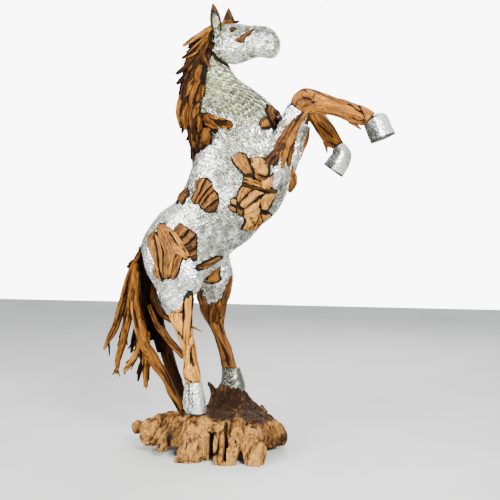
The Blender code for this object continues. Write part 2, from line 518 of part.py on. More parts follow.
def stick_mesh(flatness, points, steps=2, sides=6, lumps=STICK_LUMPS, phase=0.0):
    """A tapering length of driftwood along its points, a little lumpy in section."""
    path = smooth(points, (len(points) - 1) * steps + 1)
    centre, radius = path[:, :3], np.maximum(path[:, 3], STICK_THIN)
    along = np.gradient(centre, axis=0)
    along /= np.linalg.norm(along, axis=1)[:, None]
    up = np.cross(along, (0.0, 1.0, 0.0))
    up /= np.linalg.norm(up, axis=1)[:, None]
    side = np.cross(up, along)
    rings = ring_points(centre, up * radius[:, None], side * radius[:, None] * flatness,
                        sides, ROUND)
    turn = 2 * np.pi * np.arange(sides) / sides
    step = np.arange(len(path))[:, None]
    swell = 1 + lumps * np.cos(2 * turn + phase + STICK_TWIST * step) * np.sin(step + phase)
    return tube(centre[:, None] + (rings - centre[:, None]) * swell[:, :, None])


def grown_together(flatness, arms, growth=0.0):
    """Several lengths of driftwood that grew as one piece, or its grown copy."""
    sticks = [stick_mesh(flatness, points, 1, 5, phase=i) for i, points in enumerate(arms)]
    return joined(sticks, growth)


def box_mesh(centre, half, top=1.0):
    """A box cutter whose top is a share of its foot's width."""
    points = []
    for sz, share in ((-1, 1.0), (1, top)):
        for sx, sy in ((-1, -1), (1, -1), (1, 1), (-1, 1)):
            points.append((centre[0] + sx * half[0] * share, centre[1] + sy * half[1],
                           centre[2] + sz * half[2]))
    faces = ((3, 2, 1, 0), (4, 5, 6, 7), (0, 1, 5, 4), (1, 2, 6, 5), (2, 3, 7, 6), (3, 0, 4, 7))
    return build_mesh(points, faces)


def prism_mesh(outline, start, end):
    """The outline in x and z, drawn through y from start to end."""
    count = len(outline)
    points = [(x, y, z) for y in (start, end) for x, z in outline]
    faces = [tuple(range(count)), tuple(range(2 * count - 1, count - 1, -1))]
    faces += [(i, i + count, (i + 1) % count + count, (i + 1) % count) for i in range(count)]
    return build_mesh(points, faces)


def tidy(mesh):
    """Joins doubled points, drops slivers and keeps the largest closed body."""
    work = bmesh.new()
    work.from_mesh(mesh)
    bmesh.ops.remove_doubles(work, verts=work.verts, dist=SLIVER)
    bmesh.ops.dissolve_degenerate(work, edges=work.edges, dist=SLIVER)
    bmesh.ops.triangulate(work, faces=work.faces)
    islands = sorted(face_islands(work), key=island_size)
    smaller = [face for group in islands[:-1] for face in group]
    bmesh.ops.delete(work, geom=smaller, context="FACES")
    work.to_mesh(mesh)
    work.free()
    return mesh


def simplify(mesh, angle):
    """Joins faces that meet at less than the angle, then cuts them into triangles."""
    work = bmesh.new()
    work.from_mesh(mesh)
    bmesh.ops.dissolve_limit(work, angle_limit=angle, verts=work.verts, edges=work.edges)
    bmesh.ops.triangulate(work, faces=work.faces)
    work.to_mesh(mesh)
    work.free()
    return mesh


def is_closed(mesh):
    """True where every edge joins exactly two faces."""
    work = bmesh.new()
    work.from_mesh(mesh)
    closed = bool(work.faces) and all(len(edge.link_faces) == 2 for edge in work.edges)
    work.free()
    return closed


def face_islands(work):
    """The groups of faces that hang together."""
    left, islands = set(work.faces), []
    while left:
        group, waiting = [], [left.pop()]
        while waiting:
            face = waiting.pop()
            group.append(face)
            for edge in face.edges:
                for other in edge.link_faces:
                    if other in left:
                        left.remove(other)
                        waiting.append(other)
        islands.append(group)
    return islands


def island_size(group):
    """The volume of the tetrahedra from the origin to each face of the group."""
    total = 0.0
    for face in group:
        a, b, c = (vertex.co for vertex in face.verts)
        total += a.dot(b.cross(c)) / 6
    return total


def combine(mesh, others, operation):
    """The mesh after one Boolean with each of the others, EXACT solver."""
    subject = bpy.data.objects.new("subject", mesh)
    bpy.context.collection.objects.link(subject)
    tools = []
    for other in others:
        tool = bpy.data.objects.new("tool", other)
        bpy.context.collection.objects.link(tool)
        tools.append(tool)
        modifier = subject.modifiers.new("boolean", "BOOLEAN")
        modifier.operation = operation
        modifier.object = tool
    depsgraph = bpy.context.evaluated_depsgraph_get()
    result = bpy.data.meshes.new_from_object(subject.evaluated_get(depsgraph))
    for obj in [subject] + tools:
        bpy.data.objects.remove(obj, do_unlink=True)
    return tidy(result)


def grown(mesh, distance):
    """A copy of the mesh with every point moved out along its normal."""
    copy = mesh.copy()
    moves = [vertex.normal * distance for vertex in copy.vertices]
    for vertex, move in zip(copy.vertices, moves):
        vertex.co += move
    return copy


def mesh_bounds(mesh):
    """Lowest and highest corner of a mesh."""
    points = np.array([vertex.co[:] for vertex in mesh.vertices])
    return points.min(0), points.max(0)


def joined(forms, growth):
    """The forms as one body, each grown first where there is a growth."""
    if growth:
        forms = [grown(form, growth) for form in forms]
    return combine(forms[0], forms[1:], "UNION")


class Builder:
    """Places each piece in turn, cut clear of the pieces that were placed before it."""

    def __init__(self):
        self.finishes = {name: make_finish(name) for name in FINISHES}
        self.placed = []

    def cutters_for(self, mesh):
        """The grown copies of the placed pieces whose boxes meet this mesh's box."""
        low, high = mesh_bounds(mesh)
        return [cutter for near, far, cutter in self.placed
                if np.all(near < high) and np.all(low < far)]

    def place(self, name, mesh, finish, outer=None):
        """Cuts a piece clear and adds it; outer is its grown copy where that is made apart."""
        cutters = self.cutters_for(mesh)
        outer = outer or grown(mesh, GAP)
        if cutters:
            mesh = combine(mesh, cutters, "DIFFERENCE")
        mesh.name = name
        mesh.materials.clear()
        mesh.materials.append(self.finishes[finish])
        obj = bpy.data.objects.new(name, mesh)
        bpy.context.collection.objects.link(obj)
        self.placed.append((*mesh_bounds(outer), outer))

    def place_simplest(self, name, mesh, finish):
        """Places a form that came from a Boolean, with as few faces as will still close."""
        cutters = self.cutters_for(mesh)
        for angle in SIMPLER:
            simpler = simplify(mesh.copy(), angle)
            if is_closed(combine(simpler.copy(), cutters, "DIFFERENCE")):
                break
        self.place(name, simpler, finish)


def body_form(growth=0.0):
    """The metal-clad body: trunk and neck, head, thighs and forearms as one form."""
    forms = [trunk_mesh(), turn_head(head_mesh()),
             limb_mesh(NEAR_THIGH, 9, 12, FULL), limb_mesh(FAR_THIGH, 8, 12, FULL),
             limb_mesh(NEAR_FOREARM, 6, 10), limb_mesh(FAR_FOREARM, 5, 10)]
    return joined(forms, growth)


def base_form():
    """The root base: lobed core, limbs, front slots, and a flat cut at the floor."""
    turn = 2 * np.pi * np.arange(CORE_SIDES) / CORE_SIDES
    rings = []
    for z, half_x, half_y in CORE_RINGS:
        swell = 1 + CORE_SWELL * np.cos(CORE_LOBES * turn + CORE_TWIST * z)
        rings.append(np.stack((CORE_CENTRE[0] + half_x * swell * np.cos(turn),
                               CORE_CENTRE[1] + half_y * swell * np.sin(turn),
                               np.full(CORE_SIDES, z)), axis=1))
    limbs = [stick_mesh(flatness, points, 1, 7, LIMB_LUMPS, LIMB_PHASE * i)
             for i, (flatness, points) in enumerate(ROOT_LIMBS)]
    base = combine(tube(np.array(rings)), limbs, "UNION")
    cutters = [box_mesh(centre, half, SLOT_TOP) for centre, half in BASE_SLOTS]
    cutters.append(box_mesh(*FLOOR_BLOCK))
    return simplify(combine(base, cutters, "DIFFERENCE"), SIMPLER[0])


def patch_block(over, start, end, outline):
    """A piece laid on the body: its outline drawn through y, up to the outer surface."""
    return combine(over, [prism_mesh(outline, start, end)], "INTERSECT")


def build():
    """Builds every piece, the ones that carry others first."""
    clear_scene()
    builder = Builder()
    builder.place("clad_body", body_form(), "hammered_aluminium", body_form(GAP))
    builder.place("root_base", base_form(), "root_wood")

    for name, (stations, rings) in HOOVES.items():
        builder.place(name, limb_mesh(stations, rings, 12, FULL), "hammered_aluminium")
    for name, (stations, rings) in SHANKS.items():
        builder.place(name, limb_mesh(stations, rings, 9), "leg_driftwood")
    for name, (stations, rings, ergot) in CANNONS.items():
        cannon = combine(limb_mesh(stations, rings, 9), [stick_mesh(*ergot, 1, 5)], "UNION")
        builder.place(name, cannon, "leg_driftwood")
    for name, strip in ROOT_STRIPS.items():
        builder.place(name, stick_mesh(*strip, 1, 7), "leg_driftwood")

    for name, (start, end, thickness, outline) in PATCHES.items():
        block = patch_block(body_form(thickness), start, end, outline)
        builder.place_simplest(name, block, "patch_driftwood")
    for name, (start, end, thickness, outline) in HEAD_PATCHES.items():
        block = patch_block(grown(head_mesh(), thickness), start, end, outline)
        builder.place_simplest(name, turn_head(block), "patch_driftwood")

    builder.place("right_ear", stick_mesh(*RIGHT_EAR, 2, 8, 0.0), "hammered_aluminium")
    builder.place("left_ear", stick_mesh(*LEFT_EAR, 2, 8, 0.0), "patch_driftwood")
    builder.place("forelock", stick_mesh(*FORELOCK, 2, 6), "patch_driftwood")
    builder.place("jaw_stick", stick_mesh(*JAW_STICK, 1, 5), "mane_driftwood")
    for name, cluster in CLUSTERS.items():
        builder.place(name, grown_together(*cluster), "mane_driftwood",
                      grown_together(*cluster, GAP))
    for i, (name, lock) in enumerate(MANE.items()):
        builder.place(name, stick_mesh(*lock, 2, 5, phase=i), "mane_driftwood")
    for i, (name, branch) in enumerate(TAIL.items()):
        builder.place(name, stick_mesh(*branch, 2, 6, phase=i), "mane_driftwood")


build()
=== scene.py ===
"""The looks of a rearing horse made of driftwood and hammered sheet metal on a root base.

The horse faces +X, its near (right) side faces -Y and the floor is z = 0. Sizes are
metres, but for the tables of places, which are written in whole millimetres and read
along the horse's own outline.
"""

import logging
import math
from dataclasses import dataclass, field
from enum import Enum
from functools import partial
from typing import Callable

import bpy
import numpy as np
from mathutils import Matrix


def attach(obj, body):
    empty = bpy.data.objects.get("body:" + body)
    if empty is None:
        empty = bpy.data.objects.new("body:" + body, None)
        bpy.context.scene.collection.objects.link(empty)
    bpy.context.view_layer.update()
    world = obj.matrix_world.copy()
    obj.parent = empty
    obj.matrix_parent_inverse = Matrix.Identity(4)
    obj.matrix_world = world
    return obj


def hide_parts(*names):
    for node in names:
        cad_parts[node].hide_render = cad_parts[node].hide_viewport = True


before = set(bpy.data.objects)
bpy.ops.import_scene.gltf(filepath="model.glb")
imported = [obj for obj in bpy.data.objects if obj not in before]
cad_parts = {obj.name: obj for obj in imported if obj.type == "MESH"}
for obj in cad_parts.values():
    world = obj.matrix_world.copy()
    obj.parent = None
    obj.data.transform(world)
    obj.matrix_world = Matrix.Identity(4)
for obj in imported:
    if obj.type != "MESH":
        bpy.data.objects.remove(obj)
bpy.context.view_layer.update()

LOG = logging.getLogger("horse")
BODY = "root"             # the one body everything stands on
METAL = "hammered_aluminium"        # the record's material slots
LEG_WOOD = "leg_driftwood"
PATCH_WOOD = "patch_driftwood"
MANE_WOOD = "mane_driftwood"
ROOT_WOOD = "root_wood"
HEAD_PIVOT = 0.040        # x of the upright line the head turns about
HEAD_TURN = math.radians(16)
HEAD_TONE = 0.25          # of the eyes and the cheek strip
ROUND = 2.0               # section powers: an ellipse, then ones with fuller corners
SOFT = 2.2
FIRM = 2.3
FULL = 2.4
STICK_THIN = 0.003        # least radius of a stick
STICK_FLAT = 0.8          # thickness of most sticks as a share of their width
TWIG_FLAT = 0.9
EAR_FLAT = 0.38
FINE = 0.004              # spacing of the rings along a finely made stick
LINING_TOP = 2.222        # height where the near ear's lining ends
EAR_FOOT = 2.172          # height where the far ear comes out of the head
FAR_THIGH_PATCH = "inner_thigh_patch"       # the near patch that lies on the far thigh
TILE_DEPTH = 0.0022       # how far a metal piece's edge is turned down under the skin
BARE_SHARE = 0.80         # of a patch's outline, where the metal pieces are left off
PLATE_SHARE = 0.97        # of a patch's outline, where its backing reaches
EYE_THICK = 0.009
CHEEK_THICK = 0.011
PLAIN_TONES = (0.2, 0.8)   # tones of boards that the photograph doesn't show
HOLLOW_TONE = 0.0         # tone and darkness of painted shade in hollows and under wood or metal
HOLLOW_DARK = 1.0
TAU = 2 * math.pi


class Side(Enum):
    """The side of the horse that a piece lies on, as the sign of its y."""

    NEAR = -1
    FAR = 1


def table(width: int, *numbers: int) -> tuple:
    """Rows of metres from whole millimetres.

    Args:
        width: How many numbers make a row.
        numbers: The numbers of all the rows, one row after the other.

    Returns:
        The rows as tuples.
    """
    return tuple(tuple(number / 1000 for number in numbers[i:i + width])
                 for i in range(0, len(numbers), width))


xz = partial(table, 2)          # places in the side view
xyzr = partial(table, 4)        # points and their radius
sections = partial(table, 6)    # one edge x, z, the other edge x, z, then y and half depth


@dataclass(frozen=True)
class Patch:
    """Driftwood let into the metal: its outline, how far it stands out, and its boards.

    A tone of 0 is smoky brown and 1 is orange. shades holds the boards that are darkened,
    by number, and how dark they are. A patch without boards is split into some number of
    them along a direction in degrees.
    """

    outline: tuple
    thick: float
    tones: tuple = PLAIN_TONES
    shades: tuple = ()
    boards: tuple = ()
    split: tuple = ()
    side: Side = Side.NEAR


# Trunk and neck from the side, from the tail root to the poll: back line x, z, belly line
# x, z, then y and half width.
TRUNK = sections(-370, 1065, -85, 850, 0, 150, -335, 1135, -40, 890, 0, 172,
                 -265, 1225, 55, 970, 0, 180, -180, 1285, 100, 1025, 0, 180,
                 -130, 1365, 185, 1085, 0, 182, -90, 1470, 255, 1160, 0, 180,
                 -65, 1545, 315, 1210, 0, 174, -45, 1610, 375, 1300, 0, 165,
                 -45, 1680, 405, 1430, 0, 150, -65, 1750, 385, 1590, 0, 128,
                 -90, 1815, 326, 1748, 0, 106, -105, 1870, 212, 1850, 0, 88,
                 -105, 1920, 140, 1900, 0, 80, -85, 1990, 100, 1955, 0, 72,
                 -50, 2045, 80, 1990, 0, 64, -20, 2105, 70, 2030, 0, 54, 15, 2135, 80, 2075, 0, 40)
RUMP_DOME = ((0.061, 0.06), (0.055, 0.52), (0.030, 0.86))   # depth past the tail root, share
# Head, from the poll to the muzzle's tip: distance along, top, underside, half width.
HEAD = table(4, 0, 2120, 2070, 35, 20, 2155, 2030, 55, 73, 2172, 1993, 68, 115, 2173, 1976, 74,
                160, 2169, 1980, 72, 217, 2157, 1993, 60, 265, 2151, 1999, 50, 305, 2143, 1991, 50,
                338, 2127, 1986, 49, 362, 2100, 2003, 40, 377, 2073, 2035, 18, 381, 2060, 2048, 6)
# Leg forms from the side: rear edge x, z, front edge x, z, then y and half depth.
NEAR_THIGH = sections(-215, 1150, -100, 1165, -85, 60, -280, 1110, -50, 1115, -105, 88,
                      -328, 1045, -25, 1045, -110, 97, -322, 978, -36, 978, -115, 97,
                      -305, 922, -22, 915, -120, 88, -275, 874, -22, 873, -122, 78,
                      -248, 826, -44, 828, -125, 66, -238, 785, -92, 785, -128, 55,
                      -205, 745, -104, 742, -130, 44)
FAR_THIGH = sections(-110, 1150, 0, 1150, 85, 60, -170, 1090, 45, 1085, 105, 88,
                     -185, 1010, 60, 985, 115, 95, -150, 925, 78, 900, 122, 86,
                     -112, 850, 73, 841, 128, 70, -110, 790, 62, 785, 133, 56,
                     -105, 735, 48, 750, 136, 48)
NEAR_SHANK = sections(-108, 822, -76, 822, -136, 26, -135, 770, -67, 775, -136, 38,
                      -188, 712, -66, 725, -134, 42, -170, 650, -68, 655, -132, 40,
                      -145, 600, -66, 600, -130, 38, -130, 552, -56, 556, -130, 36,
                      -116, 480, -45, 482, -130, 36, -120, 420, -27, 416, -130, 44,
                      -106, 372, -24, 372, -130, 40)
FAR_SHANK = sections(-104, 760, 46, 765, 138, 44, -100, 700, 37, 700, 138, 42,
                     -52, 620, 27, 620, 138, 38, -20, 550, 46, 550, 140, 36,
                     0, 490, 68, 490, 140, 36, 16, 410, 95, 405, 140, 42)
NEAR_CAP = sections(-104, 370, -25, 370, -130, 42, -112, 320, -14, 320, -130, 48,
                    -117, 268, -4, 264, -130, 54, -106, 210, 2, 210, -130, 52)
FAR_CAP = sections(18, 405, 110, 400, 140, 46, 18, 350, 128, 350, 140, 52,
                   14, 300, 142, 300, 140, 58, 18, 262, 140, 262, 140, 56)
NEAR_FOREARM = sections(185, 1330, 320, 1290, -100, 48, 262, 1420, 372, 1375, -118, 52,
                        303, 1490, 404, 1450, -128, 50, 345, 1590, 448, 1548, -132, 48,
                        388, 1690, 492, 1645, -133, 46, 422, 1755, 515, 1706, -134, 44)
FAR_FOREARM = sections(185, 1330, 320, 1290, 105, 50, 262, 1420, 385, 1375, 115, 54,
                       312, 1500, 422, 1460, 120, 50, 352, 1600, 452, 1565, 121, 46,
                       398, 1705, 484, 1668, 122, 44)
NEAR_CANNON = sections(425, 1752, 505, 1700, -134, 44, 444, 1795, 530, 1695, -134, 48,
                       490, 1822, 548, 1695, -134, 50, 532, 1818, 560, 1696, -133, 46,
                       585, 1802, 578, 1697, -132, 42, 668, 1770, 655, 1684, -130, 38,
                       755, 1742, 725, 1656, -130, 38, 802, 1724, 762, 1642, -130, 42,
                       836, 1700, 790, 1642, -130, 38)
FAR_CANNON = sections(402, 1712, 482, 1672, 122, 44, 436, 1768, 484, 1690, 122, 48,
                      490, 1795, 487, 1702, 122, 50, 545, 1766, 484, 1706, 121, 46,
                      575, 1718, 490, 1688, 120, 42, 620, 1655, 534, 1622, 120, 38,
                      652, 1604, 574, 1562, 120, 40, 664, 1580, 606, 1548, 120, 36)
NEAR_HOOF = sections(850, 1700, 788, 1640, -130, 36, 888, 1690, 784, 1640, -130, 50,
                     914, 1640, 800, 1596, -130, 58, 934, 1598, 818, 1552, -130, 60)
FAR_HOOF = sections(668, 1582, 606, 1546, 120, 36, 702, 1528, 606, 1530, 120, 50,
                    692, 1468, 584, 1502, 120, 58, 656, 1404, 562, 1474, 120, 60)
# The patches of driftwood on the metal. Far ones have boards laid in one direction.
PATCHES = {
    "flank_patch": Patch(
        outline=xz(-37, 1386, 18, 1402, 46, 1380, 56, 1344, 84, 1318, 86, 1284, 74, 1246, 20, 1222,
                   -14, 1242, -24, 1266, -64, 1284, -36, 1336),
        thick=0.014, tones=(0.15, 0.5),
        boards=(
            (xz(-66, 1282, -40, 1326, -40, 1366, -21, 1396), xz(-46, 1267, -17, 1321, 15, 1393)),
            (xz(-40, 1267, -12, 1319, 21, 1390), xz(-23, 1264, 5, 1313, 51, 1365)),
            (xz(-18, 1262, 10, 1308, 51, 1357), xz(-9, 1254, 21, 1296, 56, 1335)),
            (xz(-7, 1252, 26, 1291, 62, 1333), xz(6, 1234, 42, 1266, 85, 1296)),
            (xz(11, 1232, 47, 1261, 86, 1286), xz(31, 1222, 62, 1234, 82, 1266)),
        )),
    "shoulder_patch": Patch(
        outline=xz(150, 1502, 186, 1522, 228, 1494, 335, 1484, 338, 1410, 350, 1374, 334, 1342,
                   246, 1352, 205, 1376, 186, 1432),
        thick=0.018, tones=(0.55, 1.0),
        boards=(
            (xz(144, 1487, 170, 1447, 212, 1408), xz(177, 1519, 215, 1496, 248, 1410)),
            (xz(232, 1491, 242, 1447, 262, 1413), xz(298, 1494, 336, 1454, 325, 1401)),
            (xz(207, 1400, 248, 1388, 294, 1373), xz(202, 1374, 243, 1357, 293, 1349)),
            (xz(294, 1383, 325, 1392, 352, 1416), xz(293, 1349, 319, 1342, 342, 1363)),
            (xz(248, 1408, 273, 1388, 299, 1375), xz(266, 1425, 295, 1397, 325, 1392)),
        )),
    "girth_patch": Patch(
        outline=xz(186, 1352, 236, 1346, 296, 1336, 358, 1324, 328, 1256, 305, 1228, 330, 1212,
                   286, 1190, 250, 1144, 200, 1130, 212, 1188, 164, 1240, 130, 1244, 140, 1298,
                   170, 1308),
        thick=0.018, tones=(0.6, 1.15), shades=((0, 0.55), (8, 0.22), (9, 0.22)),
        boards=(
            (xz(196, 1368, 248, 1349, 306, 1349, 353, 1332),
             xz(194, 1358, 247, 1340, 305, 1335, 343, 1322)),
            (xz(196, 1354, 179, 1319, 172, 1288), xz(247, 1339, 216, 1314, 174, 1267)),
            (xz(280, 1298, 260, 1282, 237, 1267, 201, 1239),
             xz(272, 1278, 262, 1247, 243, 1229, 197, 1218)),
            (xz(257, 1340, 221, 1309, 181, 1260), xz(306, 1323, 265, 1302, 237, 1272, 198, 1244)),
            (xz(243, 1240, 197, 1215, 206, 1187, 185, 1142),
             xz(272, 1254, 271, 1222, 243, 1183, 209, 1135)),
            (xz(271, 1219, 249, 1183, 214, 1137), xz(272, 1194, 252, 1163, 229, 1143)),
            (xz(311, 1320, 279, 1291, 280, 1242), xz(349, 1328, 328, 1292, 302, 1241)),
            (xz(276, 1220, 292, 1219, 311, 1224), xz(274, 1197, 291, 1202, 311, 1210)),
            (xz(143, 1288, 156, 1291, 169, 1284), xz(142, 1273, 155, 1265, 166, 1260)),
            (xz(132, 1255, 146, 1255, 164, 1245), xz(135, 1242, 150, 1233, 164, 1229)),
            (xz(169, 1249, 182, 1239, 195, 1237), xz(171, 1228, 180, 1218, 188, 1211)),
        )),
    "hip_patch": Patch(
        outline=xz(-150, 1140, -117, 1170, -70, 1144, -34, 1104, -32, 1002, -52, 994, -92, 1040,
                   -110, 1104),
        thick=0.016, tones=(0.1, 0.45),
        boards=(
            (xz(-150, 1128, -130, 1155, -114, 1170), xz(-110, 1091, -82, 1123, -72, 1143)),
            (xz(-107, 1086, -77, 1118, -66, 1138), xz(-93, 1059, -61, 1088, -33, 1116)),
            (xz(-91, 1054, -62, 1078, -31, 1106), xz(-75, 1031, -53, 1044, -33, 1063)),
            (xz(-73, 1029, -53, 1039, -34, 1053), xz(-66, 1004, -54, 989, -39, 993)),
        )),
    "rump_patch": Patch(
        outline=xz(-270, 1090, -255, 1130, -220, 1162, -187, 1162, -140, 1128, -114, 1098, -96, 1036,
                   -70, 1000, -100, 998, -126, 940, -152, 894, -208, 884, -235, 898, -246, 990),
        thick=0.014, tones=(0.55, 0.9),
        boards=(
            (xz(-263, 1132, -284, 1082, -268, 1038, -246, 998),
             xz(-255, 1122, -235, 1058, -225, 1008, -220, 949)),
            (xz(-241, 993, -242, 948, -245, 908), xz(-217, 944, -211, 909, -202, 884)),
            (xz(-252, 1124, -227, 1063, -216, 999, -212, 944),
             xz(-216, 1098, -195, 1019, -195, 949, -193, 894)),
            (xz(-248, 1139, -215, 1088, -194, 1040, -190, 980, -188, 889),
             xz(-183, 1142, -140, 1088, -116, 1040, -138, 985, -160, 895)),
            (xz(-252, 1144, -230, 1165, -198, 1165, -173, 1137),
             xz(-223, 1117, -197, 1123, -169, 1123, -144, 1123)),
            (xz(-140, 1062, -112, 1054, -90, 1030, -70, 1001),
             xz(-132, 1020, -112, 1010, -98, 1002, -82, 992)),
            (xz(-176, 1136, -138, 1092, -110, 1045, -84, 1008),
             xz(-128, 1120, -100, 1076, -80, 1040, -66, 1006)),
            (xz(-119, 1029, -131, 1000, -144, 960, -155, 895),
             xz(-92, 1009, -109, 980, -116, 945, -137, 898)),
        )),
    "back_patch": Patch(
        outline=xz(-172, 1286, -140, 1322, -112, 1342, -104, 1318, -128, 1290, -150, 1260),
        thick=0.016, tones=(0.1, 0.2),
        boards=(
            (xz(-148, 1289, -126, 1319, -91, 1343), xz(-116, 1265, -98, 1292, -77, 1327)),
        )),
    "belly_patch": Patch(
        outline=xz(-50, 952, 52, 1012, 78, 1004, 28, 974, -36, 930),
        thick=0.012, tones=(0.2, 0.4),
        boards=(
            (xz(-39, 955, 9, 982, 61, 1006), xz(-32, 937, 12, 963, 68, 1001)),
        )),
    "breast_patch": Patch(
        outline=xz(304, 1748, 322, 1762, 384, 1690, 346, 1630, 300, 1648, 262, 1656, 280, 1684,
                   306, 1700),
        thick=0.016, tones=(0.0, 0.35),
        boards=(
            (xz(271, 1661, 283, 1687, 303, 1695), xz(279, 1641, 297, 1639, 320, 1642)),
            (xz(299, 1763, 302, 1718, 320, 1673), xz(346, 1732, 336, 1707, 345, 1644)),
            (xz(351, 1729, 340, 1716, 350, 1666), xz(378, 1687, 386, 1680, 387, 1679)),
        )),
    "inner_thigh_patch": Patch(
        outline=xz(-70, 880, -24, 916, 14, 962, 36, 940, 34, 906, 12, 862),
        thick=0.012, tones=(0.3, 0.6),
        boards=(
            (xz(-24, 881, -23, 906, 11, 935), xz(-59, 864, -15, 860, 17, 868)),
            (xz(8, 933, 9, 905, 17, 868), xz(31, 957, 25, 916, 31, 874)),
        )),
    "far_rump_patch": Patch(
        outline=xz(-200, 1110, -140, 1150, -70, 1120, -30, 1030, -70, 930, -140, 950, -180, 1020),
        thick=0.014, split=(6, 70), side=Side.FAR),
    "far_flank_patch": Patch(
        outline=xz(-30, 1400, 40, 1420, 90, 1350, 80, 1270, 10, 1240, -40, 1310),
        thick=0.014, split=(5, 40), side=Side.FAR),
    "far_shoulder_patch": Patch(
        outline=xz(150, 1510, 230, 1520, 320, 1440, 310, 1330, 220, 1270, 150, 1350),
        thick=0.018, split=(6, 65), side=Side.FAR),
}
# Pieces let into the head, before it turns: one edge and the other.
EYE = (xz(137, 2130, 147, 2139, 161, 2139, 170, 2130),
       xz(139, 2128, 148, 2123, 160, 2123, 168, 2128))
CHEEK_STRIP = (xz(168, 2080, 200, 2090, 240, 2118, 256, 2120),
               xz(190, 2064, 212, 2066, 222, 2084, 250, 2106))
# Loose lengths of driftwood, as points (x, y, z, radius).
MANE_LOCKS = (
    xyzr(20, -50, 2160, 14, -69, -50, 2109, 18, -142, -40, 2074, 7),
    xyzr(6, -62, 2125, 14, -72, -60, 2045, 20, -146, -45, 2009, 6),
    xyzr(-20, -64, 2090, 14, -90, -45, 1990, 21, -182, -30, 1935, 7),
    xyzr(2, -85, 2079, 12, -26, -86, 2020, 20, 7, -88, 1955, 8),
    xyzr(-30, -74, 2040, 14, -60, -72, 1970, 21, -92, -60, 1890, 8),
    xyzr(-78, -30, 1990, 13, -125, -25, 1930, 19, -184, -15, 1886, 6),
    xyzr(-34, -82, 1965, 13, -50, -84, 1915, 18, -35, -88, 1868, 7),
    xyzr(-90, -50, 1940, 16, -128, -40, 1850, 26, -136, -35, 1772, 8),
    xyzr(-52, -84, 1880, 16, -82, -74, 1804, 22, -93, -60, 1712, 8),
    xyzr(-140, -10, 1860, 14, -172, -5, 1762, 20, -165, 0, 1660, 7),
    xyzr(-108, -50, 1800, 15, -124, -40, 1726, 20, -132, -30, 1648, 8),
    xyzr(-70, -75, 1770, 15, -82, -70, 1700, 21, -82, -55, 1626, 8),
    xyzr(-62, -35, 1712, 17, -86, -20, 1597, 24, -106, -10, 1498, 7),
)
TAIL = {
    "tail_branch_01": xyzr(-388, -10, 1020, 12, -420, -20, 946, 21, -452, -25, 845, 21,
                           -502, -25, 690, 21, -550, -20, 570, 15, -589, -20, 500, 6),
    "tail_branch_02": xyzr(-395, 50, 1000, 14, -430, 55, 966, 19, -482, 55, 932, 6),
    "tail_branch_03": xyzr(-392, -50, 960, 16, -408, -62, 848, 23, -446, -62, 637, 21,
                           -496, -55, 455, 14, -508, -50, 378, 6),
    "tail_branch_04": xyzr(-402, 80, 930, 16, -425, 85, 770, 24, -442, 80, 600, 18,
                           -472, 75, 470, 6),
    "tail_brace_near": xyzr(-375, -75, 920, 16, -392, -85, 771, 25, -364, -90, 641, 27,
                            -318, -90, 515, 25, -221, -85, 359, 24, -140, -80, 215, 24),
    "tail_brace_far": xyzr(-355, 85, 840, 18, -330, 80, 700, 26, -280, 60, 526, 30,
                           -200, 30, 316, 26, -145, 10, 210, 24),
    "tail_branch_05": xyzr(-372, -35, 640, 15, -384, -38, 515, 17, -423, -40, 451, 16,
                           -468, -40, 392, 10),
    "tail_branch_06": xyzr(-352, -10, 600, 18, -356, -10, 448, 24, -362, -10, 306, 9),
    "hock_branch_upper": xyzr(-330, 5, 850, 15, -300, -15, 770, 18, -250, -70, 705, 18,
                              -180, -125, 680, 14),
    "hock_branch_lower": xyzr(-325, -45, 745, 12, -272, -70, 640, 16, -205, -110, 585, 18,
                              -116, -138, 496, 13),
}
# Tones of the tail's branches that aren't left to chance.
TAIL_TONES = {"tail_branch_03": 0.75, "tail_branch_02": 0.4, "hock_branch_lower": 0.55,
              "tail_brace_far": 0.35, "hock_branch_upper": 0.45}
LEFT_FOREARM_ROOT = xyzr(476, 142, 1672, 14, 456, 150, 1600, 22, 436, 150, 1545, 20,
                         424, 144, 1500, 12)
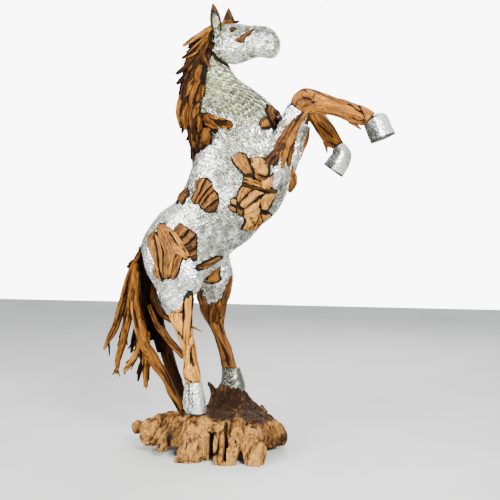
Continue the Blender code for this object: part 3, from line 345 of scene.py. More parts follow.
# Pieces that grew as one with their arms: flatness, then the points of each arm.
CLUSTERS = {
    "withers_root": (0.8, (
        xyzr(-55, -80, 1705, 18, 0, -100, 1692, 27, 60, -122, 1674, 24, 100, -136, 1664, 18,
             134, -142, 1655, 17),
        xyzr(0, -96, 1700, 22, 40, -120, 1655, 24, 60, -130, 1618, 14),
        xyzr(-40, -85, 1690, 22, -34, -100, 1640, 26, -4, -118, 1600, 34, -20, -105, 1565, 28,
             -50, -84, 1545, 14),
        xyzr(10, -78, 1742, 12, 22, -96, 1705, 22, 6, -112, 1670, 18))),
    "mane_lock_14": (0.4, (
        xyzr(-10, 10, 2130, 22, -85, 15, 2010, 50, -130, 15, 1900, 18),
        xyzr(-60, 20, 2090, 20, -118, 20, 2010, 34, -154, 20, 1912, 8))),
    "mane_lock_15": (0.4, (
        xyzr(-105, 15, 1950, 24, -135, 20, 1830, 48, -145, 20, 1690, 18),
        xyzr(-62, 30, 2000, 20, -89, 35, 1909, 38, -116, 30, 1823, 14),
        xyzr(-105, 30, 1875, 18, -150, 30, 1788, 30, -171, 20, 1706, 8))),
    "mane_lock_16": (0.4, (
        xyzr(-90, 10, 1800, 30, -105, 15, 1690, 44, -115, 10, 1580, 14),
        xyzr(-68, 20, 1720, 22, -84, 20, 1630, 32, -94, 10, 1540, 10))),
    "tail_core": (0.9, (
        xyzr(-385, 20, 1050, 18, -376, 22, 930, 44, -360, 25, 790, 46, -350, 30, 660, 36,
             -345, 35, 550, 14),
        xyzr(-370, 20, 960, 20, -342, 24, 790, 36, -318, 24, 668, 34, -300, 20, 562, 24,
             -290, 15, 488, 10),
        xyzr(-345, 10, 850, 20, -310, 5, 740, 28, -283, 0, 640, 20, -256, 0, 537, 5),
        xyzr(-380, 20, 760, 24, -400, 22, 640, 32, -402, 24, 550, 26, -392, 26, 470, 20,
             -380, 28, 400, 6),
        xyzr(-378, 34, 600, 18, -396, 44, 440, 14, -424, 50, 324, 5))),
}
JAW_STICK = xyzr(24, -82, 2030, 8, 48, -78, 1996, 9, 82, -84, 1972, 8, 114, -82, 1951, 4)
RIGHT_EAR = xyzr(48, -62, 2124, 20, 40, -68, 2180, 29, 32, -70, 2228, 22, 25, -70, 2271, 4)
LEFT_EAR = xyzr(78, 46, 2150, 34, 78, 52, 2190, 38, 76, 56, 2240, 22, 74, 58, 2279, 4)
FORELOCK = xyzr(60, 28, 2176, 20, 96, 22, 2188, 13, 140, 14, 2196, 6)
NEAR_ERGOT = xyzr(715, -130, 1668, 14, 745, -130, 1642, 10, 772, -130, 1621, 4)
FAR_ERGOT = xyzr(568, 120, 1590, 14, 574, 120, 1562, 10, 580, 120, 1530, 4)
TWIG = xyzr(-75, -140, 652, 7, -45, -150, 644, 5, -13, -155, 630, 3)
RIGHT_EAR_LINING = xyzr(48, -74, 2112, 13, 45, -83, 2155, 18, 40, -86, 2195, 17, 36, -84, 2220, 7)
FORELOCK_CURLS = (
    xyzr(66, 20, 2160, 10, 80, 14, 2186, 18, 104, 16, 2200, 11),
    xyzr(50, 30, 2150, 12, 64, 10, 2172, 15, 100, 0, 2176, 6),
    xyzr(42, -16, 2150, 14, 56, -2, 2176, 17, 70, 14, 2200, 10),
)
# The root base: limbs that taper to the floor, and the middle and half size of its slots.
ROOT_LIMBS = (
    xyzr(80, 120, 120, 115, 66, 145, 190, 115, 60, 150, 252, 80),
    xyzr(-40, -90, 140, 90, -50, -165, 120, 74, -50, -226, 45, 56, -52, -242, -20, 40),
    xyzr(25, -110, 150, 70, 22, -185, 120, 52, 14, -228, 55, 36),
    xyzr(90, -100, 140, 80, 94, -185, 115, 52, 96, -244, 50, 42, 116, -270, -10, 32),
    xyzr(165, -90, 140, 80, 170, -172, 115, 56, 164, -236, 60, 38, 140, -268, -10, 30),
    xyzr(220, -70, 130, 85, 248, -145, 110, 66, 266, -215, 55, 50, 272, -252, -20, 36),
    xyzr(220, 20, 120, 85, 300, 45, 90, 64, 352, 60, 50, 42),
    xyzr(-80, -40, 130, 90, -180, -80, 125, 74, -255, -115, 105, 60, -312, -135, 80, 40),
    xyzr(-100, 20, 120, 85, -240, 0, 105, 62, -400, -20, 88, 44),
    xyzr(-90, -110, 125, 80, -165, -170, 105, 60, -205, -215, 60, 40),
    xyzr(-60, 110, 110, 90, -145, 180, 70, 62, -185, 215, 10, 44),
    xyzr(170, 110, 120, 90, 230, 175, 80, 66, 262, 212, 10, 44),
    xyzr(10, 130, 230, 34, -30, 130, 285, 16, -62, 128, 325, 5),
)
BASE_SLOTS = (
    ((0.058, -0.25, 0.06), (0.019, 0.085, 0.085)),
    ((0.132, -0.26, 0.105), (0.012, 0.08, 0.09)),
    ((0.208, -0.25, 0.022), (0.03, 0.09, 0.048)),
)
# Shards that stand against the front of the base.
BASE_SHARDS = (
    xyzr(-118, -286, 12, 10, -86, -290, 22, 20, -64, -288, 50, 17, -66, -278, 92, 6),
    xyzr(-34, -290, 20, 8, -24, -286, 70, 15, -4, -276, 118, 6),
    xyzr(34, -276, 40, 8, 36, -276, 90, 13, 50, -262, 140, 6),
    xyzr(-250, -170, 100, 10, -292, -180, 108, 22, -326, -176, 110, 18),
)
# Cracks seen on the near side of the leg wood, as lines through (x, z) places.
CRACKS = {
    "right_fore_cannon": (
        xz(484, 1808, 500, 1811, 513, 1796),
        xz(462, 1744, 478, 1764, 500, 1772, 528, 1766),
        xz(494, 1723, 519, 1737, 545, 1748),
        xz(711, 1739, 734, 1724, 758, 1705, 777, 1695),
        xz(758, 1738, 772, 1709, 791, 1671),
        xz(735, 1673, 758, 1658, 787, 1657)),
    "left_fore_cannon": (
        xz(487, 1716, 507, 1685, 528, 1644),
        xz(579, 1588, 605, 1572, 630, 1561, 655, 1581),
        xz(538, 1674, 579, 1638, 615, 1607)),
    "right_hind_shank": (
        xz(-100, 800, -102, 768, -104, 733, -106, 660, -111, 590),
        xz(-64, 560, -70, 520, -68, 470),
        xz(-200, 731, -174, 726, -143, 724, -106, 728),
        xz(-190, 716, -185, 686, -148, 636, -112, 602, -81, 600),
        xz(-91, 573, -91, 547, -97, 517),
        xz(-123, 561, -112, 506, -102, 446),
        xz(-105, 392, -80, 380, -45, 372, -10, 385),
        xz(-70, 563, -65, 508, -55, 458)),
    "left_hind_shank": (
        xz(-74, 715, -46, 700, -14, 717, 19, 733, 52, 760),
        xz(-63, 700, -41, 631, -14, 552, 13, 489),
        xz(-14, 701, 8, 648, 30, 580),
        xz(24, 527, 51, 458, 68, 417)),
}
# Knots on the leg wood: place along the piece, turn in degrees, size.
KNOTS = {
    "right_fore_cannon": ((1.4, 250, 0.030), (2.6, 300, 0.026), (3.6, 285, 0.016)),
    "left_fore_cannon": ((1.6, 270, 0.026),),
    "right_hind_shank": ((0.3, 275, 0.014), (6.9, 285, 0.024), (7.5, 255, 0.016)),
    "left_hind_shank": ((0.6, 250, 0.022), (4.4, 280, 0.015)),
}
# Pieces laid over the edges of the metal, as the points of each.
EDGE_PIECES = {
    "far_elbow_patch": (
        xyzr(380, 104, 1484, 10, 392, 94, 1446, 22, 384, 94, 1400, 14),
        xyzr(404, 92, 1432, 14, 412, 86, 1388, 26, 388, 88, 1330, 10),
        xyzr(374, 112, 1440, 14, 384, 116, 1390, 24, 366, 116, 1345, 10)),
    "right_forearm_root": (
        xyzr(530, -158, 1738, 8, 480, -166, 1680, 21, 444, -170, 1612, 24, 420, -170, 1550, 19,
             406, -168, 1490, 12, 398, -166, 1440, 5),
        xyzr(470, -172, 1690, 8, 430, -178, 1630, 15, 398, -180, 1580, 18, 372, -178, 1530, 17,
             350, -176, 1490, 8),
        xyzr(500, -150, 1690, 10, 466, -160, 1640, 13, 446, -160, 1570, 12, 432, -154, 1500, 10,
             426, -150, 1450, 4),
        xyzr(424, -174, 1572, 10, 388, -178, 1530, 22, 354, -178, 1495, 26, 326, -176, 1466, 18,
             304, -170, 1446, 6),
        xyzr(408, -182, 1556, 10, 384, -186, 1520, 14, 372, -184, 1478, 12, 354, -178, 1440, 5)),
}
# Wood along the front and rear edges of the far thigh.
THIGH_EDGES = (
    xyzr(79, 100, 892, 6, 74, 84, 850, 15, 62, 80, 800, 15, 44, 80, 748, 10),
    xyzr(-66, 90, 872, 6, -84, 82, 830, 14, -92, 82, 785, 15, -78, 85, 740, 10),
    xyzr(-48, 100, 660, 14, -60, 90, 730, 18, -72, 84, 786, 6),
    xyzr(-30, 94, 650, 14, -20, 84, 715, 18, -14, 80, 752, 6),
    xyzr(0, 92, 650, 14, 14, 84, 722, 20, 22, 80, 772, 6),
    xyzr(22, 92, 680, 15, 42, 84, 760, 18, 56, 80, 830, 6),
)
# The mane's roots on the side of the neck and its free edge behind, from the poll down.
MANE_ROOTS = xz(26, 2150, 16, 2070, -6, 1995, -20, 1921, -34, 1846, -40, 1770, -38, 1695, -44, 1630)
MANE_EDGE = xz(-100, 2100, -130, 2030, -150, 1945, -155, 1850, -152, 1775, -140, 1690, -115, 1621,
               -98, 1554)
# The near shank's rounded stem in front, and a dark stick behind it, painted shadow
# where it meets the metal.
SHANK_STEM = xyzr(-75, -170, 822, 19, -74, -174, 796, 21, -77, -172, 700, 19, -87, -168, 617, 18,
                  -93, -154, 530, 8)
STEM_SHADOW = xyzr(-78, -166, 836, 21, -77, -168, 800, 27, -80, -162, 740, 20)
# The metal's lip on the wood of the near shank, as two edges.
THIGH_LIP = (xz(-200, 775, -150, 800, -96, 830), xz(-176, 732, -131, 737, -104, 776))
# Knobs and shards that stand out of the withers root.
WITHERS_KNOBS = (
    xyzr(0, -134, 1640, 16, 8, -146, 1618, 28, 10, -146, 1590, 30, 8, -138, 1564, 18),
    xyzr(-42, -106, 1704, 10, -30, -126, 1664, 19, -38, -120, 1628, 9),
    xyzr(-6, -122, 1696, 12, 22, -140, 1674, 24, 48, -148, 1656, 19, 68, -146, 1642, 9),
    xyzr(-48, -104, 1650, 8, -34, -120, 1610, 14, -44, -110, 1566, 6),
    xyzr(116, -146, 1664, 9, 132, -154, 1656, 14, 142, -152, 1652, 10),
)
# Places on the near side where highlights and shade are painted on the metal: x, z,
# radius, change of tone.
PAINTED_SPOTS = (
    (-0.056, 0.949, 0.058, 1.3), (-0.084, 1.222, 0.058, 1.1), (-0.152, 1.168, 0.044, 0.9),
    (0.008, 1.485, 0.049, 1.0), (0.049, 1.534, 0.039, 0.8), (0.382, 1.421, 0.034, 1.3),
    (0.296, 1.566, 0.044, 1.0), (0.311, 1.975, 0.049, 0.9), (0.095, 2.020, 0.039, 0.9),
    (-0.275, 0.978, 0.034, 1.0), (-0.274, 0.853, 0.044, 0.7), (-0.167, 0.829, 0.044, 0.6),
    (0.145, 1.227, 0.083, -0.5), (0.207, 1.106, 0.058, -0.4), (0.024, 1.108, 0.058, -0.3),
    (0.174, 1.482, 0.058, -0.4), (0.064, 1.684, 0.049, -0.4),
)


def spline(rows: tuple, where: np.ndarray) -> np.ndarray:
    """A Catmull-Rom curve through the rows.

    Args:
        rows: Points of any width, (n, m).
        where: Places to read, 0 at the first row and n - 1 at the last, of any shape.

    Returns:
        The curve's points, the shape of where with m added.
    """
    rows = np.asarray(rows, float)
    padded = np.vstack((2 * rows[0] - rows[1], rows, 2 * rows[-1] - rows[-2]))
    t = np.clip(np.asarray(where, float), 0, len(rows) - 1)
    i = np.minimum(t.astype(int), len(rows) - 2)
    u = (t - i)[..., None]
    a, b, c, d = (padded[i + k] for k in range(4))
    return 0.5 * (2 * b + (c - a) * u + (2 * a - 5 * b + 4 * c - d) * u ** 2
                  + (3 * b - a - 3 * c + d) * u ** 3)


def unit(vectors: np.ndarray) -> np.ndarray:
    """Vectors scaled to length one along the last axis."""
    return vectors / np.maximum(np.linalg.norm(vectors, axis=-1, keepdims=True), 1e-12)


def clamp(values: np.ndarray) -> np.ndarray:
    """Values kept between 0 and 1."""
    return np.clip(values, 0, 1)


def bell(values: np.ndarray) -> np.ndarray:
    """A bell curve: 1 at zero, and 0.37 at one on either side."""
    return np.exp(-values ** 2)


def boxy(values: np.ndarray, power: float) -> np.ndarray:
    """Values whose magnitude is raised to a power, their sign kept."""
    return np.sign(values) * np.abs(values) ** power


def lengths(points: np.ndarray) -> np.ndarray:
    """How far along a row of points each one is."""
    return np.concatenate(([0], np.cumsum(np.linalg.norm(np.diff(points, axis=0), axis=1))))


def woody(seed: int, turn: np.ndarray, run: np.ndarray, across: float,
          along: float) -> np.ndarray:
    """Noise on the skin of a length of wood.

    Args:
        seed: Chooses the waves.
        turn: Angles round it, (sides,) or (count, sides).
        run: How far along it each ring is, (count,).
        across: How many waves go round it, about.
        along: Fineness along it.

    Returns:
        The noise, (count, sides).
    """
    return wavy(seed, across * np.cos(turn), across * np.sin(turn), run[:, None] * along)


def solid(seed: int, places: tuple, fineness: tuple) -> np.ndarray:
    """Noise of two octaves through space.

    Args:
        seed: Chooses the waves.
        places: Coordinates along x, y and z, arrays of one shape.
        fineness: What each of the three is multiplied by.

    Returns:
        The noise, the shape of the coordinates.
    """
    return wavy(seed, *(place * scale for place, scale in zip(places, fineness)), octaves=2)


def quad_normals(points: np.ndarray, quads: np.ndarray) -> np.ndarray:
    """The direction that each four-sided face looks, not of length one."""
    first = points[quads[:, 0]]
    return np.cross(points[quads[:, 1]] - first, points[quads[:, 3]] - first)


def bilinear(grid: np.ndarray, i: np.ndarray, j: np.ndarray, u: np.ndarray,
             v: np.ndarray) -> np.ndarray:
    """A grid's values read between its points.

    Args:
        grid: The values, (n, m).
        i: Row of the cell that each place lies in.
        j: Its column.
        u: Share of the way across the cell along the rows' axis.
        v: And along the columns'.

    Returns:
        The value at each place.
    """
    return ((grid[i, j] * (1 - u) + grid[i + 1, j] * u) * (1 - v)
            + (grid[i, j + 1] * (1 - u) + grid[i + 1, j + 1] * u) * v)


def turned(points: np.ndarray, as_vector: bool = False) -> np.ndarray:
    """Turns points of the straight head about the upright line at the poll.

    Args:
        points: Points or vectors, (..., 3).
        as_vector: True for directions, which don't shift with the pivot.

    Returns:
        The turned points.
    """
    pivot = 0.0 if as_vector else HEAD_PIVOT
    x, y, z = points[..., 0] - pivot, points[..., 1], points[..., 2]
    c, s = math.cos(HEAD_TURN), math.sin(HEAD_TURN)
    return np.stack((pivot + x * c + y * s, y * c - x * s, z), axis=-1)


WAVES = 4                 # in each octave of the noise
WAVE_FALL = 0.55          # height and fineness of an octave against the one before it
WAVE_STEP = 2.1


def wavy(seed: int, *coords: np.ndarray, octaves: int = 3) -> np.ndarray:
    """Smooth noise near -1 to 1: a sum of sines of random slanted directions.

    Args:
        seed: Chooses the directions and phases.
        coords: Coordinate arrays that broadcast together, scaled so a wave is 2 pi.
        octaves: How many sets of waves, each about half the size and height of the last.

    Returns:
        The noise, the shape of the coordinates.
    """
    rng = np.random.default_rng(seed)
    total = np.zeros(np.broadcast(*coords).shape)
    height, scale = 1.0, 1.0
    for _ in range(octaves):
        for _ in range(WAVES):
            direction = rng.normal(size=len(coords))
            direction *= scale / np.linalg.norm(direction)
            phase = rng.uniform(0, TAU)
            slant = sum(d * c for d, c in zip(direction, coords))
            total += height * np.sin(slant + phase) / WAVES
        height *= WAVE_FALL
        scale *= WAVE_STEP
    return total


@dataclass
class Shell:
    """A mesh as whole arrays, with the values that the materials read.

    points are (n, 3) and faces is a list of (m, k) arrays of point numbers. tone is a
    value for each whole piece, with painted highlights and shade added on the metal;
    dark marks joints and knots, and painted shade in hollows, grooves, gaps and along
    edges; rim marks raised edges, painted lighter as a highlight; and grain is the place
    of a point in the wood as it grew, before it was bent.
    """

    points: np.ndarray
    faces: list
    tone: np.ndarray
    dark: np.ndarray
    rim: np.ndarray
    grain: np.ndarray

    @staticmethod
    def merged(shells: list) -> "Shell":
        """All the shells as one, with their point numbers moved on."""
        starts = np.cumsum([0] + [len(s.points) for s in shells[:-1]])
        faces = [face + start for s, start in zip(shells, starts) for face in s.faces]
        columns = (np.concatenate([getattr(s, name) for s in shells])
                   for name in ("tone", "dark", "rim", "grain"))
        return Shell(np.concatenate([s.points for s in shells]), faces, *columns)

    def triangles(self) -> int:
        """How many triangles the faces come to."""
        return int(sum(len(face) * (face.shape[1] - 2) for face in self.faces))

    def piece(self, name: str, slot: str, material: bpy.types.Material,
              sharp: float = 40.0, nodes: tuple = ()) -> bpy.types.Object:
        """Makes the object, hangs it under the body's empty and hides the CAD nodes it replaces.

        Args:
            name: The object's name.
            slot: The record's material slot; not used.
            material: The finish it wears.
            sharp: Bend in degrees past which an edge is drawn sharp.
            nodes: The CAD nodes that it replaces.

        Returns:
            The new object, at the origin.
        """
        mesh = bpy.data.meshes.new(name)
        mesh.vertices.add(len(self.points))
        mesh.vertices.foreach_set("co", np.ascontiguousarray(self.points, np.float32).ravel())
        loops = np.concatenate([face.ravel() for face in self.faces])
        totals = np.concatenate([np.full(len(face), face.shape[1]) for face in self.faces])
        mesh.loops.add(len(loops))
        mesh.loops.foreach_set("vertex_index", loops.astype(np.int32))
        mesh.polygons.add(len(totals))
        starts = np.concatenate(([0], np.cumsum(totals)[:-1]))
        mesh.polygons.foreach_set("loop_start", starts.astype(np.int32))
        mesh.update(calc_edges=True)
        mesh.validate()
        mesh.polygons.foreach_set("use_smooth", np.ones(len(mesh.polygons), bool))
        for key in ("tone", "dark", "rim"):
            values = mesh.attributes.new(key, "FLOAT", "POINT").data
            values.foreach_set("value", getattr(self, key).astype(np.float32))
        values = mesh.attributes.new("grain", "FLOAT_VECTOR", "POINT").data
        values.foreach_set("vector", np.ascontiguousarray(self.grain, np.float32).ravel())
        mesh.set_sharp_from_angle(angle=math.radians(sharp))
        mesh.materials.append(material)
        obj = bpy.data.objects.new(name, mesh)
        bpy.context.collection.objects.link(obj)
        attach(obj, BODY)
        if nodes:
            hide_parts(*nodes)
        LOG.info("%s: %d triangles", name, self.triangles())
        return obj


def closed_rings(rings: np.ndarray, tone: float, dark: np.ndarray, grain: np.ndarray) -> Shell:
    """A closed shell through rows of rings, each end drawn to its middle point.

    Args:
        rings: Points, (count, sides, 3), turning so that the faces look out.
        tone: The piece's own tone.
        dark: Darkness of each point, (count, sides).
        grain: Grain place of each point, (count, sides, 3).

    Returns:
        The shell.
    """
    count, sides = rings.shape[:2]
    points = np.vstack((rings.reshape(-1, 3), rings[0].mean(0), rings[-1].mean(0)))
    places = np.vstack((grain.reshape(-1, 3), grain[0].mean(0), grain[-1].mean(0)))
    shade = np.concatenate((dark.ravel(), (dark[0].mean(), dark[-1].mean())))
    j = np.arange(sides)
    k = (j + 1) % sides
    i = (np.arange(count - 1) * sides)[:, None]
    quads = np.stack((i + j, i + k, i + sides + k, i + sides + j), axis=-1).reshape(-1, 4)
    first = np.stack((np.full(sides, count * sides), k, j), axis=-1)
    end = (count - 1) * sides
    last = np.stack((np.full(sides, count * sides + 1), end + j, end + k), axis=-1)
    faces = [quads, first, last]
    mids = rings.mean(1)[np.repeat(np.arange(count - 1), sides)]
    outward = points[quads[:, 0]] - mids
    if np.einsum("ij,ij->i", quad_normals(points, quads), outward).sum() < 0:
        faces = [face[:, ::-1] for face in faces]
    zero = np.zeros(len(points))
    return Shell(points, faces, np.full(len(points), tone), shade, zero, places)


@dataclass
class Form:
    """A closed form swept along rows of centre, half height and half width vectors.

    A point is centre + up f(turn) + side g(turn), where f and g are the cosine and sine
    raised to 2 / power with their signs kept, a superellipse.
    """

    rows: np.ndarray
    power: float = ROUND

    @classmethod
    def from_edges(cls, stations: tuple, power: float = ROUND) -> "Form":
        """A form from edge pairs of the side view, each with its y and half depth."""
        rows = [((ax + bx) / 2, y, (az + bz) / 2, (ax - bx) / 2, 0, (az - bz) / 2, 0, half, 0)
                for ax, az, bx, bz, y, half in stations]
        return cls(np.array(rows, float), power)

    @property
    def last(self) -> float:
        """The place of the last row."""
        return len(self.rows) - 1.0

    def points(self, along: np.ndarray, turn: np.ndarray) -> np.ndarray:
        """Points at places along and round the form, arrays that broadcast together."""
        along, turn = np.broadcast_arrays(along, turn)
        row = spline(self.rows, along)
        f = boxy(np.cos(turn), 2 / self.power)
        g = boxy(np.sin(turn), 2 / self.power)
        return row[..., :3] + row[..., 3:6] * f[..., None] + row[..., 6:] * g[..., None]

    def normals(self, along: np.ndarray, turn: np.ndarray) -> np.ndarray:
        """Outward directions, from differences of nearby points."""
        small = 0.02
        along = np.clip(along, small, self.last - small)
        a = self.points(along + small, turn) - self.points(along - small, turn)
        b = self.points(along, turn + small) - self.points(along, turn - small)
        normal = unit(np.cross(a, b))
        centre = spline(self.rows, along)[..., :3]
        outward = self.points(along, turn) - centre
        sign = np.sign(np.einsum("...i,...i->...", normal, outward))
        return normal * np.where(sign == 0, 1, sign)[..., None]


def trunk_form() -> Form:
    """Trunk and neck, with a dome over the tail end."""
    rows = Form.from_edges(TRUNK).rows
    start = rows[0]
    outward = np.array((start[5], 0, -start[3])) / math.hypot(start[3], start[5])
    dome = [np.concatenate((start[:3] - outward * depth, start[3:] * share))
            for depth, share in RUMP_DOME]
    return Form(np.vstack((dome, rows)), FIRM)


def head_form(straight: bool = False) -> Form:
    """The head, turned at the poll unless it is asked for straight."""
    rows = np.array([(along, 0, (top + under) / 2, 0, 0, (top - under) / 2, 0, half, 0)
                     for along, top, under, half in HEAD], float)
    if not straight:
        rows = np.hstack((turned(rows[:, :3]), turned(rows[:, 3:6], True),
                          turned(rows[:, 6:], True)))
    return Form(rows, SOFT)


class Relief:
    """The nearest and farthest y of some forms over a grid of x and z."""

    low = np.array((-0.50, 0.15))       # corners of the grid
    high = np.array((1.05, 2.35))
    step = 0.004
    rings = 640             # how densely a form is read, along and round it
    sides = 520
    spreading = 12          # how many cells the edge values are spread outward
    softening = 2           # how often the values are softened
    steepest = 1.6          # slope past which a height isn't turned any further

    def __init__(self, forms: list) -> None:
        """Reads each form densely into the grid, and spreads the edge values outward."""
        shape = np.ceil((self.high - self.low) / self.step).astype(int)
        self.near = np.full(shape, np.inf)
        self.far = np.full(shape, -np.inf)
        for form in forms:
            along = np.linspace(0, form.last, self.rings)[:, None]
            points = form.points(along, np.linspace(0, TAU, self.sides)[None]).reshape(-1, 3)
            i, j = ((points[:, ::2] - self.low) / self.step).astype(int).T
            np.minimum.at(self.near, (i, j), points[:, 1])
            np.maximum.at(self.far, (i, j), points[:, 1])
        self.covered = np.isfinite(self.near)
        self.near, self.far = self.spread(self.near), self.spread(self.far)

    def spread(self, grid: np.ndarray) -> np.ndarray:
        """Fills cells beside filled ones with the mean of their neighbours, then softens.

        Args:
            grid: A grid with values that aren't finite where no form is.

        Returns:
            The grid, spread outward.
        """
        known = np.isfinite(grid)
        values = np.where(known, grid, 0.0)
        for _ in range(self.spreading):
            total, count = np.zeros_like(values), np.zeros_like(values)
            for shift, axis in ((1, 0), (-1, 0), (1, 1), (-1, 1)):
                total += np.roll(values * known, shift, axis)
                count += np.roll(known, shift, axis)
            fill = ~known & (count > 0)
            values = np.where(fill, total / np.maximum(count, 1), values)
            known |= fill
        for _ in range(self.softening):
            values = (values + sum(np.roll(values, s, a) for s in (1, -1) for a in (0, 1))) / 5
        return values

    def read(self, side: Side, x: np.ndarray, z: np.ndarray) -> np.ndarray:
        """The y of one side, read between the grid's points.

        Args:
            side: The side of the horse.
            x: Coordinates of the places, arrays of one shape.
            z: The same along z.

        Returns:
            The y of each place.
        """
        values = self.near if side is Side.NEAR else self.far
        place = (np.stack((x, z), axis=-1) - self.low) / self.step - 0.5
        i = np.clip(place.astype(int), 0, np.array(values.shape) - 2)
        u, v = np.moveaxis(place - i, -1, 0)
        a, b = i[..., 0], i[..., 1]
        return bilinear(values, a, b, u, v)

    def place(self, side: Side, x: np.ndarray, z: np.ndarray, height: np.ndarray) -> np.ndarray:
        """Points that stand a height out of the surface, square to it.

        Args:
            side: The side of the horse.
            x: Coordinates of the places, arrays of one shape.
            z: The same along z.
            height: How far out each point stands.

        Returns:
            The points, the shape of x with 3 added.
        """
        small = 2 * self.step
        y = self.read(side, x, z)
        slope_x = (self.read(side, x + small, z) - self.read(side, x - small, z)) / (2 * small)
        slope_z = (self.read(side, x, z + small) - self.read(side, x, z - small)) / (2 * small)
        out = float(side.value)
        steep = np.clip(np.stack((slope_x, slope_z)), -self.steepest, self.steepest)
        normal = unit(np.stack((-steep[0] * out, np.full_like(y, out), -steep[1] * out), axis=-1))
        return np.stack((x, y, z), axis=-1) + normal * np.asarray(height)[..., None]

    def holds(self, points: np.ndarray, depth: float) -> np.ndarray:
        """True for points that lie at least a depth inside the forms."""
        x, y, z = np.moveaxis(points, -1, 0)
        place = ((np.stack((x, z), axis=-1) - self.low) / self.step).astype(int)
        place = np.clip(place, 0, np.array(self.covered.shape) - 1)
        covered = self.covered[place[..., 0], place[..., 1]]
        return (covered & (self.read(Side.NEAR, x, z) + depth < y)
                & (y < self.read(Side.FAR, x, z) - depth))


def inside_outline(outline: tuple, x: np.ndarray, z: np.ndarray) -> np.ndarray:
    """Tells places inside a closed outline by how often a level line crosses it.

    Args:
        outline: Corners in x and z.
        x: Coordinates of the places, arrays of one shape.
        z: The same along z.

    Returns:
        True for places inside.
    """
    corners = np.asarray(outline, float)
    after = np.roll(corners, -1, axis=0)
    crossings = np.zeros(np.shape(x), int)
    for (ax, az), (bx, bz) in zip(corners, after):
        if az == bz:
            continue
        spans = (az > z) != (bz > z)
        reach = ax + (z - az) * (bx - ax) / (bz - az)
        crossings += spans & (x < reach)
    return crossings % 2 == 1


def shrunk(outline: tuple, share: float) -> np.ndarray:
    """The outline drawn in towards its own middle."""
    corners = np.asarray(outline, float)
    middle = corners.mean(0)
    return middle + (corners - middle) * share


def painted_spots(points: np.ndarray) -> np.ndarray:
    """Painted highlights and shade: a change of tone at points on the near side, a sum of
    bells about the painted spots.
    """
    change = np.zeros(points.shape[:-1])
    for x, z, radius, gain in PAINTED_SPOTS:
        away = np.hypot(points[..., 0] - x, points[..., 2] - z) / radius
        change += gain * bell(away) * (points[..., 1] < 0)
    return change


@dataclass(frozen=True)
class TilePattern:
    """How the beaten metal pieces lie: their size and how uneven they are, in metres."""

    length: float = 0.030       # of a piece along its course
    height: float = 0.021       # of a course
    slant: float = 5.0          # angle of the courses to the form's own line, degrees
    rim: float = 0.0022         # how far the edge stands out of the skin
    middle: float = 0.0012      # and the middle
    tilt: float = 0.0011
    dent: float = 0.0007
    wander: float = 0.0045      # how far the courses stray from straight lines
    wave: float = 45.0          # fineness of that straying, waves over a metre times TAU
    shift: float = 0.15         # unevenness along the courses, as a share of a piece
    jitter: float = 0.06        # unevenness of the corners, as a share of a piece
    sheet: float = 0.35         # change of tone from one sheet of metal to the next
    blot: float = 15.0          # fineness of the sheets
    seam: float = 0.6           # darkness of the joints
    lanes: tuple = (0.012, 0.07, 0.36, 0.64, 0.93, 0.988)   # places of a piece's grid lines


class Unrolled:
    """A form's skin laid flat.

    The first measure is the length along the form's middle line. The second is the
    length round it from its underline, more than zero on the near side.
    """

    def __init__(self, form: Form) -> None:
        """Tables the lengths over the form."""
        self.form = form
        self.rows = np.linspace(0, form.last, 160)
        sweep = np.linspace(0, math.pi, 181)
        self.run = lengths(spline(form.rows, self.rows)[:, :3])
        ring = form.points(self.rows[:, None], math.pi + sweep[None])
        steps = np.linalg.norm(np.diff(ring, axis=1), axis=-1)
        arc = np.hstack((np.zeros((len(self.rows), 1)), np.cumsum(steps, axis=1)))
        self.half = arc[:, -1]
        self.reach = np.linspace(0, self.half.max(), 240)
        self.sweep = np.stack([np.interp(self.reach, row, sweep) for row in arc])

    def girth(self, run: np.ndarray) -> np.ndarray:
        """Half the length round the form at lengths along it."""
        return np.interp(run, self.run, self.half)

    def places(self, run: np.ndarray, reach: np.ndarray) -> np.ndarray:
        """Places along and round the form from the two lengths.

        Args:
            run: Length along it.
            reach: Length round it from its underline.

        Returns:
            The places, (..., 2).
        """
        along = np.interp(run, self.run, self.rows)
        a = along / self.form.last * (len(self.rows) - 1)
        b = np.abs(reach) / self.reach[-1] * (len(self.reach) - 1)
        i = np.clip(a.astype(int), 0, len(self.rows) - 2)
        j = np.clip(b.astype(int), 0, len(self.reach) - 2)
        u, v = clamp(a - i), clamp(b - j)
        sweep = bilinear(self.sweep, i, j, u, v)
        return np.stack((along, math.pi + np.sign(reach) * sweep), axis=-1)


